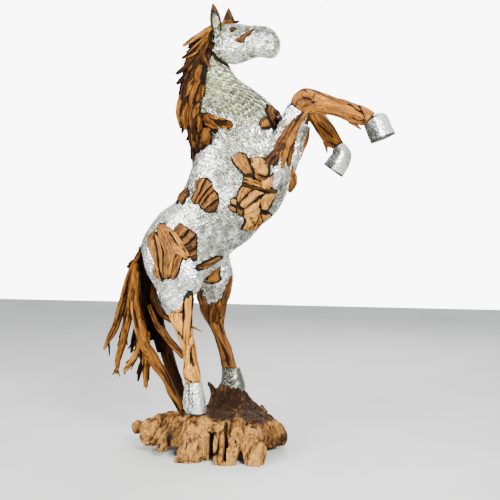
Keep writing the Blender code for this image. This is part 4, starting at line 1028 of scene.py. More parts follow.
def tile_corners(form: Form, start: float, end: float, pattern: TilePattern,
                 rng: np.random.Generator) -> np.ndarray:
    """Corners of the metal pieces over a stretch of a form.

    Bricks are laid on the unrolled skin in slanted courses that wander a little, and
    those past the form's back line are left off.

    Args:
        form: The form that is covered.
        start: Place along the form where the pieces begin.
        end: Place where they end.
        pattern: Size, slant and unevenness.
        rng: Source of the unevenness.

    Returns:
        Places along and round the form, (n, 4, 2).
    """
    flat = Unrolled(form)
    low, high = np.interp((start, end), flat.rows, flat.run)
    wide = flat.half.max()
    radius = math.hypot(high - low, 2 * wide) / 2
    slant = math.radians(pattern.slant)
    rows, columns = int(radius / pattern.height) + 1, int(radius / pattern.length) + 1
    row, column = np.meshgrid(np.arange(-rows, rows), np.arange(-columns, columns))
    row, column = row.ravel().astype(float), column.ravel().astype(float)
    shift = rng.uniform(-pattern.shift, pattern.shift, len(row))
    p = (column + 0.5 * (row % 2) + shift) * pattern.length
    q = row * pattern.height
    corner = np.array(((0, 0), (1, 0), (1, 1), (0, 1)), float)
    p = p[:, None] + corner[None, :, 0] * pattern.length
    q = q[:, None] + corner[None, :, 1] * pattern.height
    seed = int(rng.integers(1, 999))
    bend_p = pattern.wander * wavy(seed, p * pattern.wave, q * pattern.wave)
    bend_q = pattern.wander * wavy(seed + 1, p * pattern.wave, q * pattern.wave)
    p = p + bend_p + rng.uniform(-1, 1, p.shape) * pattern.jitter * pattern.length
    q = q + bend_q + rng.uniform(-1, 1, q.shape) * pattern.jitter * pattern.height
    run = (low + high) / 2 + p * math.cos(slant) + q * math.sin(slant)
    reach = -p * math.sin(slant) + q * math.cos(slant)
    middle_run, middle_reach = run.mean(1), reach.mean(1)
    keep = (middle_run > low) & (middle_run < high)
    keep &= np.abs(middle_reach) < flat.girth(middle_run) - 0.2 * pattern.height
    run, reach = run[keep], reach[keep]
    margin = 0.0005
    run = np.clip(run, margin, flat.run[-1] - margin)
    return flat.places(run, reach)


BURIED = 0.006            # depth inside another form past which a metal piece is left off
SKIRT = 0.05              # how near its edge, as a share, a piece is turned down
RIM = 0.2                 # and how near its edge it stands up
SHEET_SEED = 5
SKIN_TONE = 0.3
SKIN_DARK = 0.45


def lay_tiles(form: Form, corners: np.ndarray, pattern: TilePattern, others: tuple,
              bare: tuple, rng: np.random.Generator) -> Shell:
    """Beaten metal pieces on a form, each a small closed pillow.

    A point of a piece is its corners blended bilinearly, then moved out of the form by
    the rim's or the middle's height plus a tilt and a dent. The outermost lane is turned
    down under the skin, and one face closes the underside.

    Args:
        form: The form that is covered.
        corners: Places along and round the form, (n, 4, 2).
        pattern: Heights and unevenness.
        others: Reliefs of other forms; a piece whose middle lies inside one is left off.
        bare: Outlines and sides, (outline, side), where the skin is under driftwood.
        rng: Source of the unevenness.

    Returns:
        All the pieces as one shell.
    """
    middle = corners.mean(1)
    centres = form.points(middle[:, 0], middle[:, 1])
    keep = np.ones(len(corners), bool)
    for other in others:
        keep &= ~other.holds(centres, BURIED)
    for outline, side in bare:
        keep &= ~(inside_outline(outline, centres[:, 0], centres[:, 2])
                  & (centres[:, 1] * side.value > 0))
    corners = corners[keep]
    count, k = len(corners), len(pattern.lanes)
    p, q = np.meshgrid(pattern.lanes, pattern.lanes, indexing="ij")
    weights = np.stack(((1 - p) * (1 - q), p * (1 - q), p * q, (1 - p) * q))
    place = np.einsum("cij,ncd->nijd", weights, corners)
    base = form.points(place[..., 0], place[..., 1])
    normal = form.normals(place[..., 0], place[..., 1])
    edge = np.minimum(np.minimum(p, 1 - p), np.minimum(q, 1 - q))
    skirt, rim = edge < SKIRT, (edge >= SKIRT) & (edge < RIM)
    height = np.where(skirt, -TILE_DEPTH, np.where(rim, pattern.rim, pattern.middle))
    tilt = rng.uniform(-pattern.tilt, pattern.tilt, (count, 2, 1, 1))
    height = height + np.where(skirt, 0, tilt[:, 0] * (2 * p - 1) + tilt[:, 1] * (2 * q - 1)
                               + rng.normal(0, pattern.dent, (count, k, k)))
    points = (base + normal * height[..., None]).reshape(-1, 3)

    first = (np.arange(count) * k * k)[:, None, None]
    i, j = np.meshgrid(np.arange(k - 1), np.arange(k - 1), indexing="ij")
    a = first + i * k + j
    quads = np.stack((a, a + k, a + k + 1, a + 1), axis=-1).reshape(-1, 4)
    loop = np.concatenate((np.arange(k - 1), np.arange(k - 1) * k + k - 1,
                           k * k - 1 - np.arange(k - 1), (k - 1 - np.arange(k - 1)) * k))
    under = first[:, 0] + loop[None]
    out = np.einsum("ij,ij->i", quad_normals(points, quads), normal.reshape(-1, 3)[quads[:, 0]])
    flip = out.reshape(count, -1).sum(1) < 0
    quads = quads.reshape(count, -1, 4)
    quads = np.where(flip[:, None, None], quads[..., ::-1], quads).reshape(-1, 4)
    under = np.where(flip[:, None], under[:, ::-1], under)
    shape = (count, k, k)
    sheets = np.round(1.6 * wavy(SHEET_SEED, *(centres[keep].T * pattern.blot), octaves=1))
    # The tone takes the painted highlights and shade of the near side.
    tone = rng.uniform(0, 1, count) + pattern.sheet * sheets + painted_spots(centres[keep])
    tone = np.broadcast_to(tone[:, None, None], shape).ravel()
    dark = np.broadcast_to(np.where(skirt, pattern.seam, 0.0), shape).ravel()
    # The raised edges, which the metal paints lighter as a highlight.
    rims = np.broadcast_to(np.where(rim, 1.0, 0.0), shape).ravel()
    return Shell(points, [quads, under], tone, dark, rims, points.copy())


def skin_of(form: Form, rings: int, sides: int) -> Shell:
    """The closed skin under the metal pieces, sunk a little into the form."""
    sink = 0.001
    along = np.linspace(0, form.last, rings)[:, None]
    turn = np.linspace(0, TAU, sides, endpoint=False)[None]
    points = form.points(along, turn) - form.normals(along, turn) * sink
    return closed_rings(points, SKIN_TONE, np.full(points.shape[:2], SKIN_DARK), points)


FOLD_WAVES = (75, 75, 75)         # fineness of the folds, dents and pits of beaten sheet
DENT_WAVES = (260, 260, 260)
PIT_WAVES = (560, 520, 400)
PITTED_LENGTH = 0.026     # how far in front of a cap's middle its pits fade out
DARK_RINGS = 4            # painted dark as shade at the foot of a cap


def beaten(form: Form, seed: int, dent: float = 0.0014, pits: float = 0.0, tone: float = 0.6,
           painted_light: float = 0.0, rings: int = 64, sides: int = 96) -> Shell:
    """A sheet of metal beaten over a form, with folds, dents and, where asked, open pits.

    Points are moved out by folds, the inverted magnitude of broad noise, and dents, a
    finer noise. Pits are cut where a blotchy noise passes a level, fewer towards the
    front. The pits and the folds' hollows are painted dark as shade, the folds' ridges
    are marked for a painted highlight, and the last rings are painted dark as shade,
    where the sheet ends.

    Args:
        form: The form it covers.
        seed: Chooses the folds.
        dent: Height of the folds.
        pits: Depth of the pits.
        tone: The sheet's tone.
        painted_light: Painted light and shade, how much brighter its front is and how
        much darker its back.
        rings: Rings along it.
        sides: Points round a ring.

    Returns:
        The closed shell.
    """
    along = np.linspace(0, form.last, rings)[:, None]
    turn = (TAU * np.arange(sides) / sides)[None]
    base = form.points(along, turn)
    x, y, z = np.moveaxis(base, -1, 0)
    folds = 1 - 2 * np.abs(solid(seed, (x, y, z), FOLD_WAVES))
    dents = solid(seed + 1, (x, y, z), DENT_WAVES)
    height = dent * (folds + 0.7 * dents)
    holes = clamp(solid(seed + 2, (x, y, z), PIT_WAVES) * 7.0 - 0.1)
    holes = holes * clamp(1.1 - (x - x.mean()) / PITTED_LENGTH)
    height = height - pits * holes
    points = base + form.normals(along, turn) * height[..., None]
    # Painted shade in the pits and the folds' hollows, and at the end of the sheet.
    dark = 1.5 * holes * (pits > 0) + clamp(-folds - 0.45) * 0.5
    dark[-DARK_RINGS:] = HOLLOW_DARK
    shell = closed_rings(points, tone, clamp(dark), points)
    # Painted highlight on the folds' ridges.
    shell.rim[:-2] = clamp(folds - 0.55).ravel()
    # Painted light: the front, facing +x, lighter and the back darker.
    front = np.clip(form.normals(along, turn)[..., 0] * 5, -1, 1)
    shell.tone[:-2] += painted_light * front.ravel()
    return shell


BOARD_SPREAD = 0.0012       # how far a board's edges lie outside the lines it is drawn by
BOARD_STRAY = 0.0034        # how far they wander
BOARD_SINK = 0.005          # how far its underside goes into the metal
BOARD_RIPPLE = 0.20         # height of its ripples, as a share of its thickness
BOARD_LEAN = 0.35           # and the most that it leans
BOARD_RIM = 0.81            # and how far out from its middle, as a share, it takes painted shade


def strip(first: tuple, second: tuple, place: Callable, thickness: float, seed: int,
          widen: float = 0.0, shadow_backing: bool = False) -> Shell:
    """A board of driftwood bent over a surface, between two edges.

    Across, a point's place is the edges blended by half of one plus a boxy cosine, and
    its height is a boxy sine times the thickness, which sinks at both ends. Long ripples
    run with the grain. Its edges and the ripples' hollows are darkened as painted shade,
    with darker blots near the edges.
    run with the grain.

    Args:
        first: One edge as (x, z) places.
        second: The other edge, running the same way.
        place: Function of x, z and height that gives points on the surface.
        thickness: How far the board stands out.
        seed: Chooses the ripples and the tone.
        widen: How far the edges and ends are moved outward.
        shadow_backing: True for the dark layer under the boards, painted shadow in the gaps.

    Returns:
        The closed shell.
    """
    rng = np.random.default_rng(seed)
    rows, sides = (16, 16) if shadow_backing else (30, 28)
    s = np.linspace(0, 1, rows)
    a = spline(first, s * (len(first) - 1))
    b = spline(second, s * (len(second) - 1))
    across = unit(b - a)
    stray = BOARD_STRAY * wavy(seed + 5, s * 13)[:, None]
    a = a - across * (widen + BOARD_SPREAD + stray)
    b = b + across * (widen + BOARD_SPREAD - 0.6 * stray[::-1])
    if widen:
        for edge in (a, b):
            run = unit(np.gradient(edge, axis=0))
            edge += run * ((2 * s - 1) ** 3)[:, None] * widen
    length = np.linalg.norm(np.diff((a + b) / 2, axis=0), axis=1).sum()
    width = np.linalg.norm(b - a, axis=1)
    turn = TAU * np.arange(sides) / sides
    w = 0.5 - 0.5 * boxy(np.cos(turn), 0.55)
    h = boxy(np.sin(turn), 0.62)
    reach = clamp(1 - np.abs(2 * s - 1) ** 12) ** 0.5
    narrow = clamp(1 - np.abs(2 * s - 1) ** 14) ** 0.5 * 0.4 + 0.6
    w = 0.5 + (w - 0.5)[None] * narrow[:, None]
    flat = a[:, None] * (1 - w[..., None]) + b[:, None] * w[..., None]
    along, span = (s * length)[:, None], w * width[:, None]
    ripple = wavy(seed, along * 18, span * 420) + 0.6 * wavy(seed + 1, along * 60, span * 900)
    top = np.maximum(h, 0)[None]
    uneven = 0.0 if shadow_backing else thickness * BOARD_RIPPLE * ripple * top
    tilt = 0.0 if shadow_backing else rng.uniform(-BOARD_LEAN, BOARD_LEAN)
    lean = thickness * tilt * (2 * w - 1) * top
    height = np.where(h >= 0, h * thickness, h * BOARD_SINK)[None] * reach[:, None]
    height = np.maximum(height + uneven + lean, -BOARD_SINK)
    rings = place(flat[..., 0], flat[..., 1], height)
    edge = np.maximum(np.abs(2 * w - 1), np.abs(2 * s - 1)[:, None] ** 3)
    blot = wavy(seed + 9, along * 30, span * 90)
    # Painted shade along the edges and in the ripples' hollows, and darker blots near the edges.
    dark = (clamp((edge - BOARD_RIM) * 5) + clamp(-ripple - 0.40) * 1.1
            + clamp(blot - 0.30) * clamp(edge * 1.6 - 0.6))
    dark = np.ones_like(height) if shadow_backing else clamp(dark)
    grain = np.stack(np.broadcast_arrays(along, span, height), axis=-1) + rng.uniform(0, 9, 3)
    return closed_rings(rings, HOLLOW_TONE if shadow_backing else rng.uniform(0.0, 1.0), dark, grain)


STICK_RINGS = (8, 120)      # least and greatest number of rings along a stick
STICK_KNOTS = 0.06          # height of its small knots, as a share of its radius
STICK_RIM = 0.78            # how far out from its middle, as a share, its edges take painted shade


def stick(points: tuple, flatness: float, seed: int, sides: int = 20, steps: float = 2.0,
          phase: float = 0.0, groove: float = 0.10, lumps: float = 0.12,
          spacing: float = 0.007, tone: float | None = None, wobble: float = 0.0,
          edge_shade: float = 0.0) -> Shell:
    """A tapering length of driftwood along its points, lumpy and fluted.

    A point is the path plus its radius round it; the radius swells with the cosine of
    twice the turn, twisting from place to place, and flutes run along the grain. The
    flutes' grooves, and where asked its edges, are darkened as painted shade.

    Args:
        points: Rows of x, y, z and radius.
        flatness: Thickness across as a share of the width.
        seed: Chooses the flutes and the tone.
        sides: Points round a ring.
        steps: Turns of the lumps for each row.
        phase: Where the lumps start.
        groove: Depth of the flutes as a share of the radius.
        lumps: Depth of the lumps as a share of the radius.
        spacing: Length from ring to ring.
        tone: The piece's tone, drawn at random where none is given.
        wobble: How far the path strays between its ends.
        edge_shade: Painted shade along its upper and lower edges.

    Returns:
        The closed shell.
    """
    rng = np.random.default_rng(seed)
    rows = np.asarray(points, float)
    length = np.linalg.norm(np.diff(rows[:, :3], axis=0), axis=1).sum()
    count = int(np.clip(length / spacing, *STICK_RINGS))
    t = np.linspace(0, len(rows) - 1, count)
    path = spline(rows, t)
    centre, radius = path[:, :3], np.maximum(path[:, 3], STICK_THIN)
    gone = np.linspace(0, length, count)
    held = np.sin(np.linspace(0, math.pi, count)) ** 0.5
    stray = np.stack([wavy(seed + 40 + k, gone * 22, octaves=2) * held for k in range(3)], -1)
    centre = centre + wobble * stray
    along = unit(np.gradient(centre, axis=0))
    up = unit(np.cross(along, (0.0, 1.0, 0.0)))
    side = np.cross(up, along)
    turn = TAU * np.arange(sides) / sides
    run = lengths(centre)
    step = (t * steps)[:, None]
    flutes = woody(seed, turn, run, 5, 14)
    knots = woody(seed + 7, turn, run, 1.5, 55)
    swell = (1 + lumps * np.cos(2 * turn + phase + 1.7 * step) * np.sin(step + phase)
             + groove * flutes + STICK_KNOTS * knots)
    reach = radius[:, None] * swell
    offset = (up[:, None] * (reach * np.cos(turn))[..., None]
              + side[:, None] * (reach * np.sin(turn) * flatness)[..., None])
    rings = centre[:, None] + offset
    # Painted shade in the flutes' grooves, and along the edges below.
    dark = clamp(-flutes * 1.3 - 0.25)
    margin = np.abs(np.cos(turn)) + 0.12 * knots
    dark = np.maximum(dark, edge_shade * clamp((margin - STICK_RIM) * 7))
    grain = np.stack((np.broadcast_to(run[:, None], reach.shape), reach * np.cos(turn),
                      reach * np.sin(turn)), axis=-1) + rng.uniform(0, 9, 3)
    shade = rng.uniform(0, 1) if tone is None else tone
    return closed_rings(rings, shade, dark, grain)


def splinter(points: tuple, reach: float, thick: tuple, seed: int,
             rng: np.random.Generator) -> Shell:
    """A thin splinter that lies along a stretch of a stick and drifts off its end.

    Args:
        points: Rows of x, y, z and radius of the stick.
        reach: How far the splinter's end drifts.
        thick: Least and greatest radius.
        seed: Chooses its flutes.
        rng: Source of its place, direction and tone.

    Returns:
        The closed shell.
    """
    swell = np.array((0.5, 1.0, 0.9, 0.6, 0.2))     # its radius from one end to the other
    last = len(points) - 1
    start = rng.uniform(0.0, 0.6) * last
    end = min(start + rng.uniform(0.25, 0.5) * last, last)
    rows = spline(points, np.linspace(start, end, len(swell)))
    side = unit(rng.normal(0, 1, 3))
    drift = 0.75 * rows[:, 3:] + reach * np.linspace(0, 1, len(swell))[:, None] ** 1.5
    rows[:, :3] += side * drift
    rows[:, 3] = rng.uniform(*thick) * swell
    return stick(rows, STICK_FLAT, seed, sides=16, spacing=0.009, groove=0.16,
                 tone=rng.uniform(0, 1), wobble=0.004, edge_shade=0.5)


def line_distance(x: np.ndarray, z: np.ndarray, line: tuple) -> np.ndarray:
    """Distance from places to the nearest point of a line through (x, z) places."""
    nearest = np.full(x.shape, np.inf)
    corners = np.asarray(line, float)
    for (ax, az), (bx, bz) in zip(corners[:-1], corners[1:]):
        dx, dz = bx - ax, bz - az
        t = clamp(((x - ax) * dx + (z - az) * dz) / (dx * dx + dz * dz))
        nearest = np.minimum(nearest, np.hypot(x - ax - t * dx, z - az - t * dz))
    return nearest


CARVED_TWIST = 0.25         # how far the grain swings round a carved piece, radians
CREASE_DEPTH = 0.0035
CREASE_WIDTH = 0.045        # in the noise's own measure
CRACK_DEPTH = 0.0060
CRACK_WIDTH = 0.0025
CRACK_HALO = 0.009         # how wide the wood beside a crack is darkened
KNOT_HEIGHT = 0.28          # these three as shares of the knot's size
KNOT_RING = 1.25            # from its middle to the dark ring round it
KNOT_RING_WIDTH = 0.14


def carved(form: Form, seed: int, rings: int = 130, sides: int = 96, ridge: float = 0.0026,
           lump: float = 0.0040, tone: float = 0.7, cracks: tuple = (),
           knots: tuple = ()) -> Shell:
    """A thick piece of root wood on a form, with ridges, lumps, cracks and knots.

    Points of the form are moved out by ridges that run with the grain plus broad lumps.
    Creases, where an elongated noise passes through zero, and the given cracks are cut
    in as narrow bell-shaped grooves, darkened as painted shade, as are the ridges' hollows,
    and the wood beside a crack is darker. A knot is a wide bell with a dark ring round it.

    Args:
        form: The form it follows.
        seed: Chooses ridges and lumps.
        rings: Rings along it.
        sides: Points round a ring.
        ridge: Height of the ridges.
        lump: Height of the lumps.
        tone: The piece's tone.
        cracks: Lines in x and z, cut into the near side.
        knots: Place along, turn in degrees and size of each knot.

    Returns:
        The closed shell.
    """
    along = np.linspace(0, form.last, rings)
    turn = TAU * np.arange(sides) / sides
    centre = spline(form.rows, along)[:, :3]
    run = lengths(centre)
    twisted = turn + CARVED_TWIST * np.sin(run * 21 + seed)[:, None]
    flutes = woody(seed, twisted, run, 7, 9)
    fine = woody(seed + 2, twisted, run, 19, 16)
    broad = woody(seed + 3, turn, run, 1.6, 24)
    split = woody(seed + 4, twisted, run, 3.2, 10)
    crease = bell(split / CREASE_WIDTH) * clamp(0.4 + broad * 2)
    a, t = along[:, None], turn[None]
    base, normal = form.points(a, t), form.normals(a, t)
    height = ridge * flutes + 0.35 * ridge * fine + lump * broad - CREASE_DEPTH * crease
    # Painted shade in the ridges' hollows and in the creases.
    dark = clamp(-flutes * 1.2 - 0.45) + 0.9 * crease
    near = base[..., 1] < centre[:, None, 1]
    for line in cracks:
        away = line_distance(base[..., 0], base[..., 2], line) + 0.0035 * fine + 0.001
        force = np.clip(0.85 + 0.9 * wavy(seed + 6, base[..., 0] * 40, base[..., 2] * 40), 0.4, 1)
        cut = bell(np.maximum(away - 0.0014 * force, 0) / CRACK_WIDTH) * near * force
        height = height - CRACK_DEPTH * cut
        # Painted shade in the crack, and the wood beside it darker.
        dark = dark + 0.9 * cut + 0.22 * bell(away / CRACK_HALO) * near
    for place, degrees, size in knots:
        middle = form.points(np.array(place), np.array(math.radians(degrees)))
        away = np.linalg.norm(base - middle, axis=-1) / size
        height = height + KNOT_HEIGHT * size * bell(away) - 0.002 * bell(away * 5)
        ring = bell((away - KNOT_RING + 0.35 * fine + 0.3 * broad) / KNOT_RING_WIDTH)
        dark = dark + 0.6 * ring * clamp(0.3 + 2 * split) + 0.2 * bell(away * 5)
    points = base + normal * height[..., None]
    size = np.linalg.norm(base - centre[:, None], axis=-1)
    grain = np.stack((np.broadcast_to(run[:, None], size.shape), size * np.cos(turn),
                      size * np.sin(turn)), axis=-1)
    return closed_rings(points, tone, clamp(dark), grain + seed * 0.37)


def surface_net(values: np.ndarray, origin: np.ndarray, step: float) -> tuple:
    """The surface where a field on a grid passes through zero, negative inside.

    Each cell that the surface crosses gets one point, the mean of the crossings on its
    edges, and each grid edge that it crosses gets a face through its four cells.

    Args:
        values: The field, (nx, ny, nz).
        origin: Place of the first grid point.
        step: Distance between grid points.

    Returns:
        Points (n, 3) and four-sided faces (m, 4), facing out.
    """
    shape = np.array(values.shape) - 1
    total, count = np.zeros((*shape, 3)), np.zeros(shape)
    corner = [(i, j, k) for i in (0, 1) for j in (0, 1) for k in (0, 1)]
    grid = np.stack(np.meshgrid(*(np.arange(n) for n in shape), indexing="ij"), axis=-1)

    def at(offset: tuple) -> np.ndarray:
        """The field at one corner of every cell."""
        return values[tuple(slice(o, o + n) for o, n in zip(offset, shape))]

    for start in corner:
        for axis in range(3):
            if start[axis]:
                continue
            end = tuple(s + (a == axis) for a, s in enumerate(start))
            v0, v1 = at(start), at(end)
            crossed = (v0 < 0) != (v1 < 0)
            part = np.where(crossed, v0 / np.where(crossed, v0 - v1, 1), 0)
            spot = grid + np.array(start, float)
            spot[..., axis] += part
            total += np.where(crossed[..., None], spot, 0)
            count += crossed
    live = count > 0
    number = np.full(tuple(shape), -1)
    number[live] = np.arange(live.sum())
    points = origin + total[live] / count[live][:, None] * step
    faces = []
    for axis in range(3):
        b, c = (axis + 1) % 3, (axis + 2) % 3
        low = [slice(1, n) for n in shape]
        low[axis] = slice(0, shape[axis])
        high = list(low)
        high[axis] = slice(1, shape[axis] + 1)
        v0, v1 = values[tuple(low)], values[tuple(high)]
        crossed = (v0 < 0) != (v1 < 0)
        spot = np.argwhere(crossed)
        spot[:, b] += 1
        spot[:, c] += 1
        out = v0[crossed] < 0
        around = []
        for db, dc in ((0, 0), (1, 0), (1, 1), (0, 1)):
            cell = spot.copy()
            cell[:, b] -= db
            cell[:, c] -= dc
            around.append(number[tuple(cell.T)])
        quad = np.stack(around, axis=-1)
        faces.append(np.where(out[:, None], quad, quad[:, ::-1]))
    return points, np.concatenate(faces)


Socket = bpy.types.NodeSocket
DULL_SPECULAR = 0.13        # how much a dry wooden surface mirrors


class Graph:
    """A material's nodes, added and joined by short calls."""

    def __init__(self, name: str) -> None:
        """Starts a material with a Principled shader and the object's coordinates."""
        self.material = bpy.data.materials.new(name)
        self.material.use_nodes = True
        self.tree = self.material.node_tree
        self.shader = self.tree.nodes["Principled BSDF"]
        self.place = self.node("ShaderNodeTexCoord").outputs["Object"]

    def node(self, kind: str, inputs: dict | None = None, **settings) -> bpy.types.Node:
        """Adds a node, sets its options, and feeds its inputs with values or sockets."""
        node = self.tree.nodes.new(kind)
        for key, value in settings.items():
            setattr(node, key, value)
        for key, value in (inputs or {}).items():
            self.feed(node.inputs[key], value)
        return node

    def feed(self, socket: Socket, value) -> None:
        """Joins a socket to another, or sets its value."""
        if isinstance(value, Socket):
            self.tree.links.new(value, socket)
        else:
            socket.default_value = value

    def attribute(self, name: str, output: str = "Fac") -> Socket:
        """A value stored on the mesh."""
        return self.node("ShaderNodeAttribute", attribute_name=name).outputs[output]

    def noise(self, vector: Socket, scale: float, detail: float = 4.0, rough: float = 0.55,
              bend: float = 0.0) -> Socket:
        """Cloudy noise from 0 to 1."""
        inputs = {"Vector": vector, "Scale": scale, "Detail": detail, "Roughness": rough,
                  "Distortion": bend}
        return self.node("ShaderNodeTexNoise", inputs).outputs["Fac"]

    def cells(self, vector: Socket, scale: float) -> Socket:
        """Distance from scattered points, blended smoothly between them."""
        inputs = {"Vector": vector, "Scale": scale}
        return self.node("ShaderNodeTexVoronoi", inputs, feature="SMOOTH_F1").outputs["Distance"]

    def streaks(self, vector: Socket, scale: tuple, detail: float, rough: float = 0.55,
                bend: float = 0.0) -> Socket:
        """Cloudy noise drawn out by another scale along each axis."""
        stretched = self.node("ShaderNodeMapping", {"Vector": vector, "Scale": scale})
        return self.noise(stretched.outputs[0], 1.0, detail, rough, bend)

    def math(self, operation: str, a, b) -> Socket:
        """Two values combined."""
        return self.node("ShaderNodeMath", {0: a, 1: b}, operation=operation).outputs[0]

    def times(self, a, b) -> Socket:
        """Two values multiplied."""
        return self.math("MULTIPLY", a, b)

    def plus(self, a, b) -> Socket:
        """Two values added."""
        return self.math("ADD", a, b)

    def weighted(self, *pairs) -> Socket:
        """Values times their shares, added up."""
        total = self.times(*pairs[0])
        for value, share in pairs[1:]:
            total = self.plus(total, self.times(value, share))
        return total

    def minus(self, a, b) -> Socket:
        """The second value taken from the first."""
        return self.math("SUBTRACT", a, b)

    def cover(self, base, share, colour: tuple) -> Socket:
        """A colour laid over the base, where the share is above zero."""
        inputs = {0: share, 6: base, 7: (*colour, 1)}
        return self.node("ShaderNodeMix", inputs, data_type="RGBA").outputs[2]

    def ramp(self, value, stops) -> Socket:
        """A colour read from stops of (place, colour)."""
        stops = tuple(stops)
        node = self.node("ShaderNodeValToRGB", {0: value})
        elements = node.color_ramp.elements
        while len(elements) < len(stops):
            elements.new(0.5)
        for element, (place, colour) in zip(elements, stops):
            element.position = place
            element.color = (*colour, 1.0)
        return node.outputs[0]

    def span(self, value, low: float, high: float, to_low: float = 0.0,
             to_high: float = 1.0) -> Socket:
        """A value moved from one span to another, kept within it."""
        inputs = {0: value, 1: low, 2: high, 3: to_low, 4: to_high}
        return self.node("ShaderNodeMapRange", inputs).outputs[0]

    def bump(self, height, strength: float, distance: float, under=None) -> Socket:
        """Relief from a height, over any relief before it."""
        inputs = {"Height": height, "Strength": strength, "Distance": distance}
        if under is not None:
            inputs["Normal"] = under
        return self.node("ShaderNodeBump", inputs).outputs[0]

    def finish(self, **sockets) -> bpy.types.Material:
        """Feeds the shader's own sockets and gives the material."""
        for key, value in sockets.items():
            self.feed(self.shader.inputs[key.replace("_", " ")], value)
        return self.material


@dataclass(frozen=True)
class BeatenMetal:
    """Hammered aluminium sheet: dull silver, darker in the joints, tinted in places.

    Raised edges are painted lighter as a highlight, and pits, folds and hollows darker as
    painted shade.
    """

    name: str = "hammered_aluminium"
    dull: tuple = (0.098, 0.100, 0.072)
    middle: tuple = (0.35, 0.355, 0.295)
    bright: tuple = (0.86, 0.87, 0.82)
    stops: tuple = (0.505, 0.595, 0.685)    # where those three stand
    shares: tuple = (0.16, 0.64, 0.38)      # of the piece's tone, a mottle and a cloud
    tint: tuple = (0.20, 0.215, 0.095)
    tint_share: float = 0.30
    # Colour of the dark joints, and of painted shade in pits, folds and hollows.
    joint_and_shade: tuple = (0.045, 0.045, 0.032)
    # Colour of the painted highlight on raised edges.
    rim: tuple = (0.80, 0.81, 0.76)
    rim_highlight_share: float = 0.30
    rim_highlight_fall: float = 1.6           # how sharply the painted highlight gathers at the edges
    dents: float = 0.0060       # height of the hammer marks
    gloss: tuple = (0.18, 0.38)     # roughness, least and greatest

    def material(self) -> bpy.types.Material:
        """Builds the material."""
        g = Graph(self.name)
        tone, dark, rim = (g.attribute(key) for key in ("tone", "dark", "rim"))
        mottle = g.noise(g.place, 62, 7, 0.74, 0.8)
        cloud = g.noise(g.place, 9, 3, 0.5)
        shade = g.weighted(*zip((tone, mottle, cloud), self.shares))
        base = g.ramp(shade, zip(self.stops, (self.dull, self.middle, self.bright)))
        tinted = g.times(g.span(g.noise(g.place, 7.5, 3, 0.5), 0.44, 0.62), self.tint_share)
        tinted = g.times(tinted, g.span(rim, 0.5, 1.0, 1.0, 0.15))
        base = g.cover(base, tinted, self.tint)
        # Painted highlight: the raised edges made lighter.
        edge = g.times(g.math("POWER", rim, self.rim_highlight_fall), self.rim_highlight_share)
        base = g.cover(base, edge, self.rim)
        # Dark joints, and painted shade where the mesh is marked dark.
        base = g.cover(base, g.span(dark, 0.1, 1.0), self.joint_and_shade)
        dents = g.cells(g.place, 95)
        relief = g.bump(dents, 0.9, self.dents)
        relief = g.bump(g.noise(g.place, 240, 4, 0.65), 0.6, 0.0018, relief)
        rough = g.span(g.noise(g.place, 60, 4), 0.3, 0.7, *self.gloss)
        metallic = g.span(dark, 0.3, 1.0, 0.94, 0.1)
        return g.finish(Base_Color=base, Roughness=rough, Metallic=metallic, Normal=relief)


@dataclass(frozen=True)
class Driftwood:
    """Weathered root wood whose grain follows the piece, near black in its cracks and
    where shade is painted.
    """

    name: str
    deep: tuple = (0.014, 0.0042, 0.0007)
    middle: tuple = (0.145, 0.052, 0.0065)
    light: tuple = (0.38, 0.165, 0.026)
    pale: tuple = (0.58, 0.29, 0.068)
    stops: tuple = (0.50, 0.65, 0.82, 1.0)  # where those four stand
    crack_and_shade: tuple = (0.0025, 0.0011, 0.0004)
    clouds: float = 0.60        # strength of the broad grain's colour
    lift: float = 0.36          # added to the value that picks the colour
    stain: float = 0.8          # strength of the smoky patches
    spread: float = 0.30        # how far the tone sets pieces apart
    figure: float = 0.55        # strength of the fine grain's colour
    specular: float = DULL_SPECULAR

    def material(self) -> bpy.types.Material:
        """Builds the material."""
        g = Graph(self.name)
        tone, dark = g.attribute("tone"), g.attribute("dark")
        grain = g.attribute("grain", "Vector")
        lines = g.streaks(grain, (9, 120, 120), 6, 0.66, 0.5)
        broad = g.streaks(grain, (8, 36, 36), 5, 0.6, 1.0)
        value = g.weighted((g.minus(lines, 0.5), self.figure), (broad, self.clouds),
                           (g.minus(tone, 0.5), self.spread))
        base = g.ramp(g.plus(value, self.lift),
                      zip(self.stops, (self.deep, self.middle, self.light, self.pale)))
        smoke = g.span(g.streaks(grain, (11, 30, 30), 6, 0.72, 1.5), 0.50, 0.66)
        base = g.cover(base, g.times(smoke, self.stain), self.deep)
        checks = g.span(g.streaks(grain, (13, 190, 190), 4, 0.65), 0.58, 0.66)
        base = g.cover(base, g.times(checks, 0.85), self.crack_and_shade)
        # Painted shade, where the mesh is marked dark.
        base = g.cover(base, g.span(dark, 0.02, 0.7), self.crack_and_shade)
        relief = g.bump(lines, 1.0, 0.0050)
        relief = g.bump(checks, -0.9, 0.0025, relief)
        relief = g.bump(g.streaks(grain, (20, 420, 420), 3), 0.5, 0.0010, relief)
        rough = g.span(broad, 0.3, 0.7, 0.50, 0.78)
        return g.finish(Base_Color=base, Roughness=rough, Normal=relief,
                        Specular_IOR_Level=self.specular)


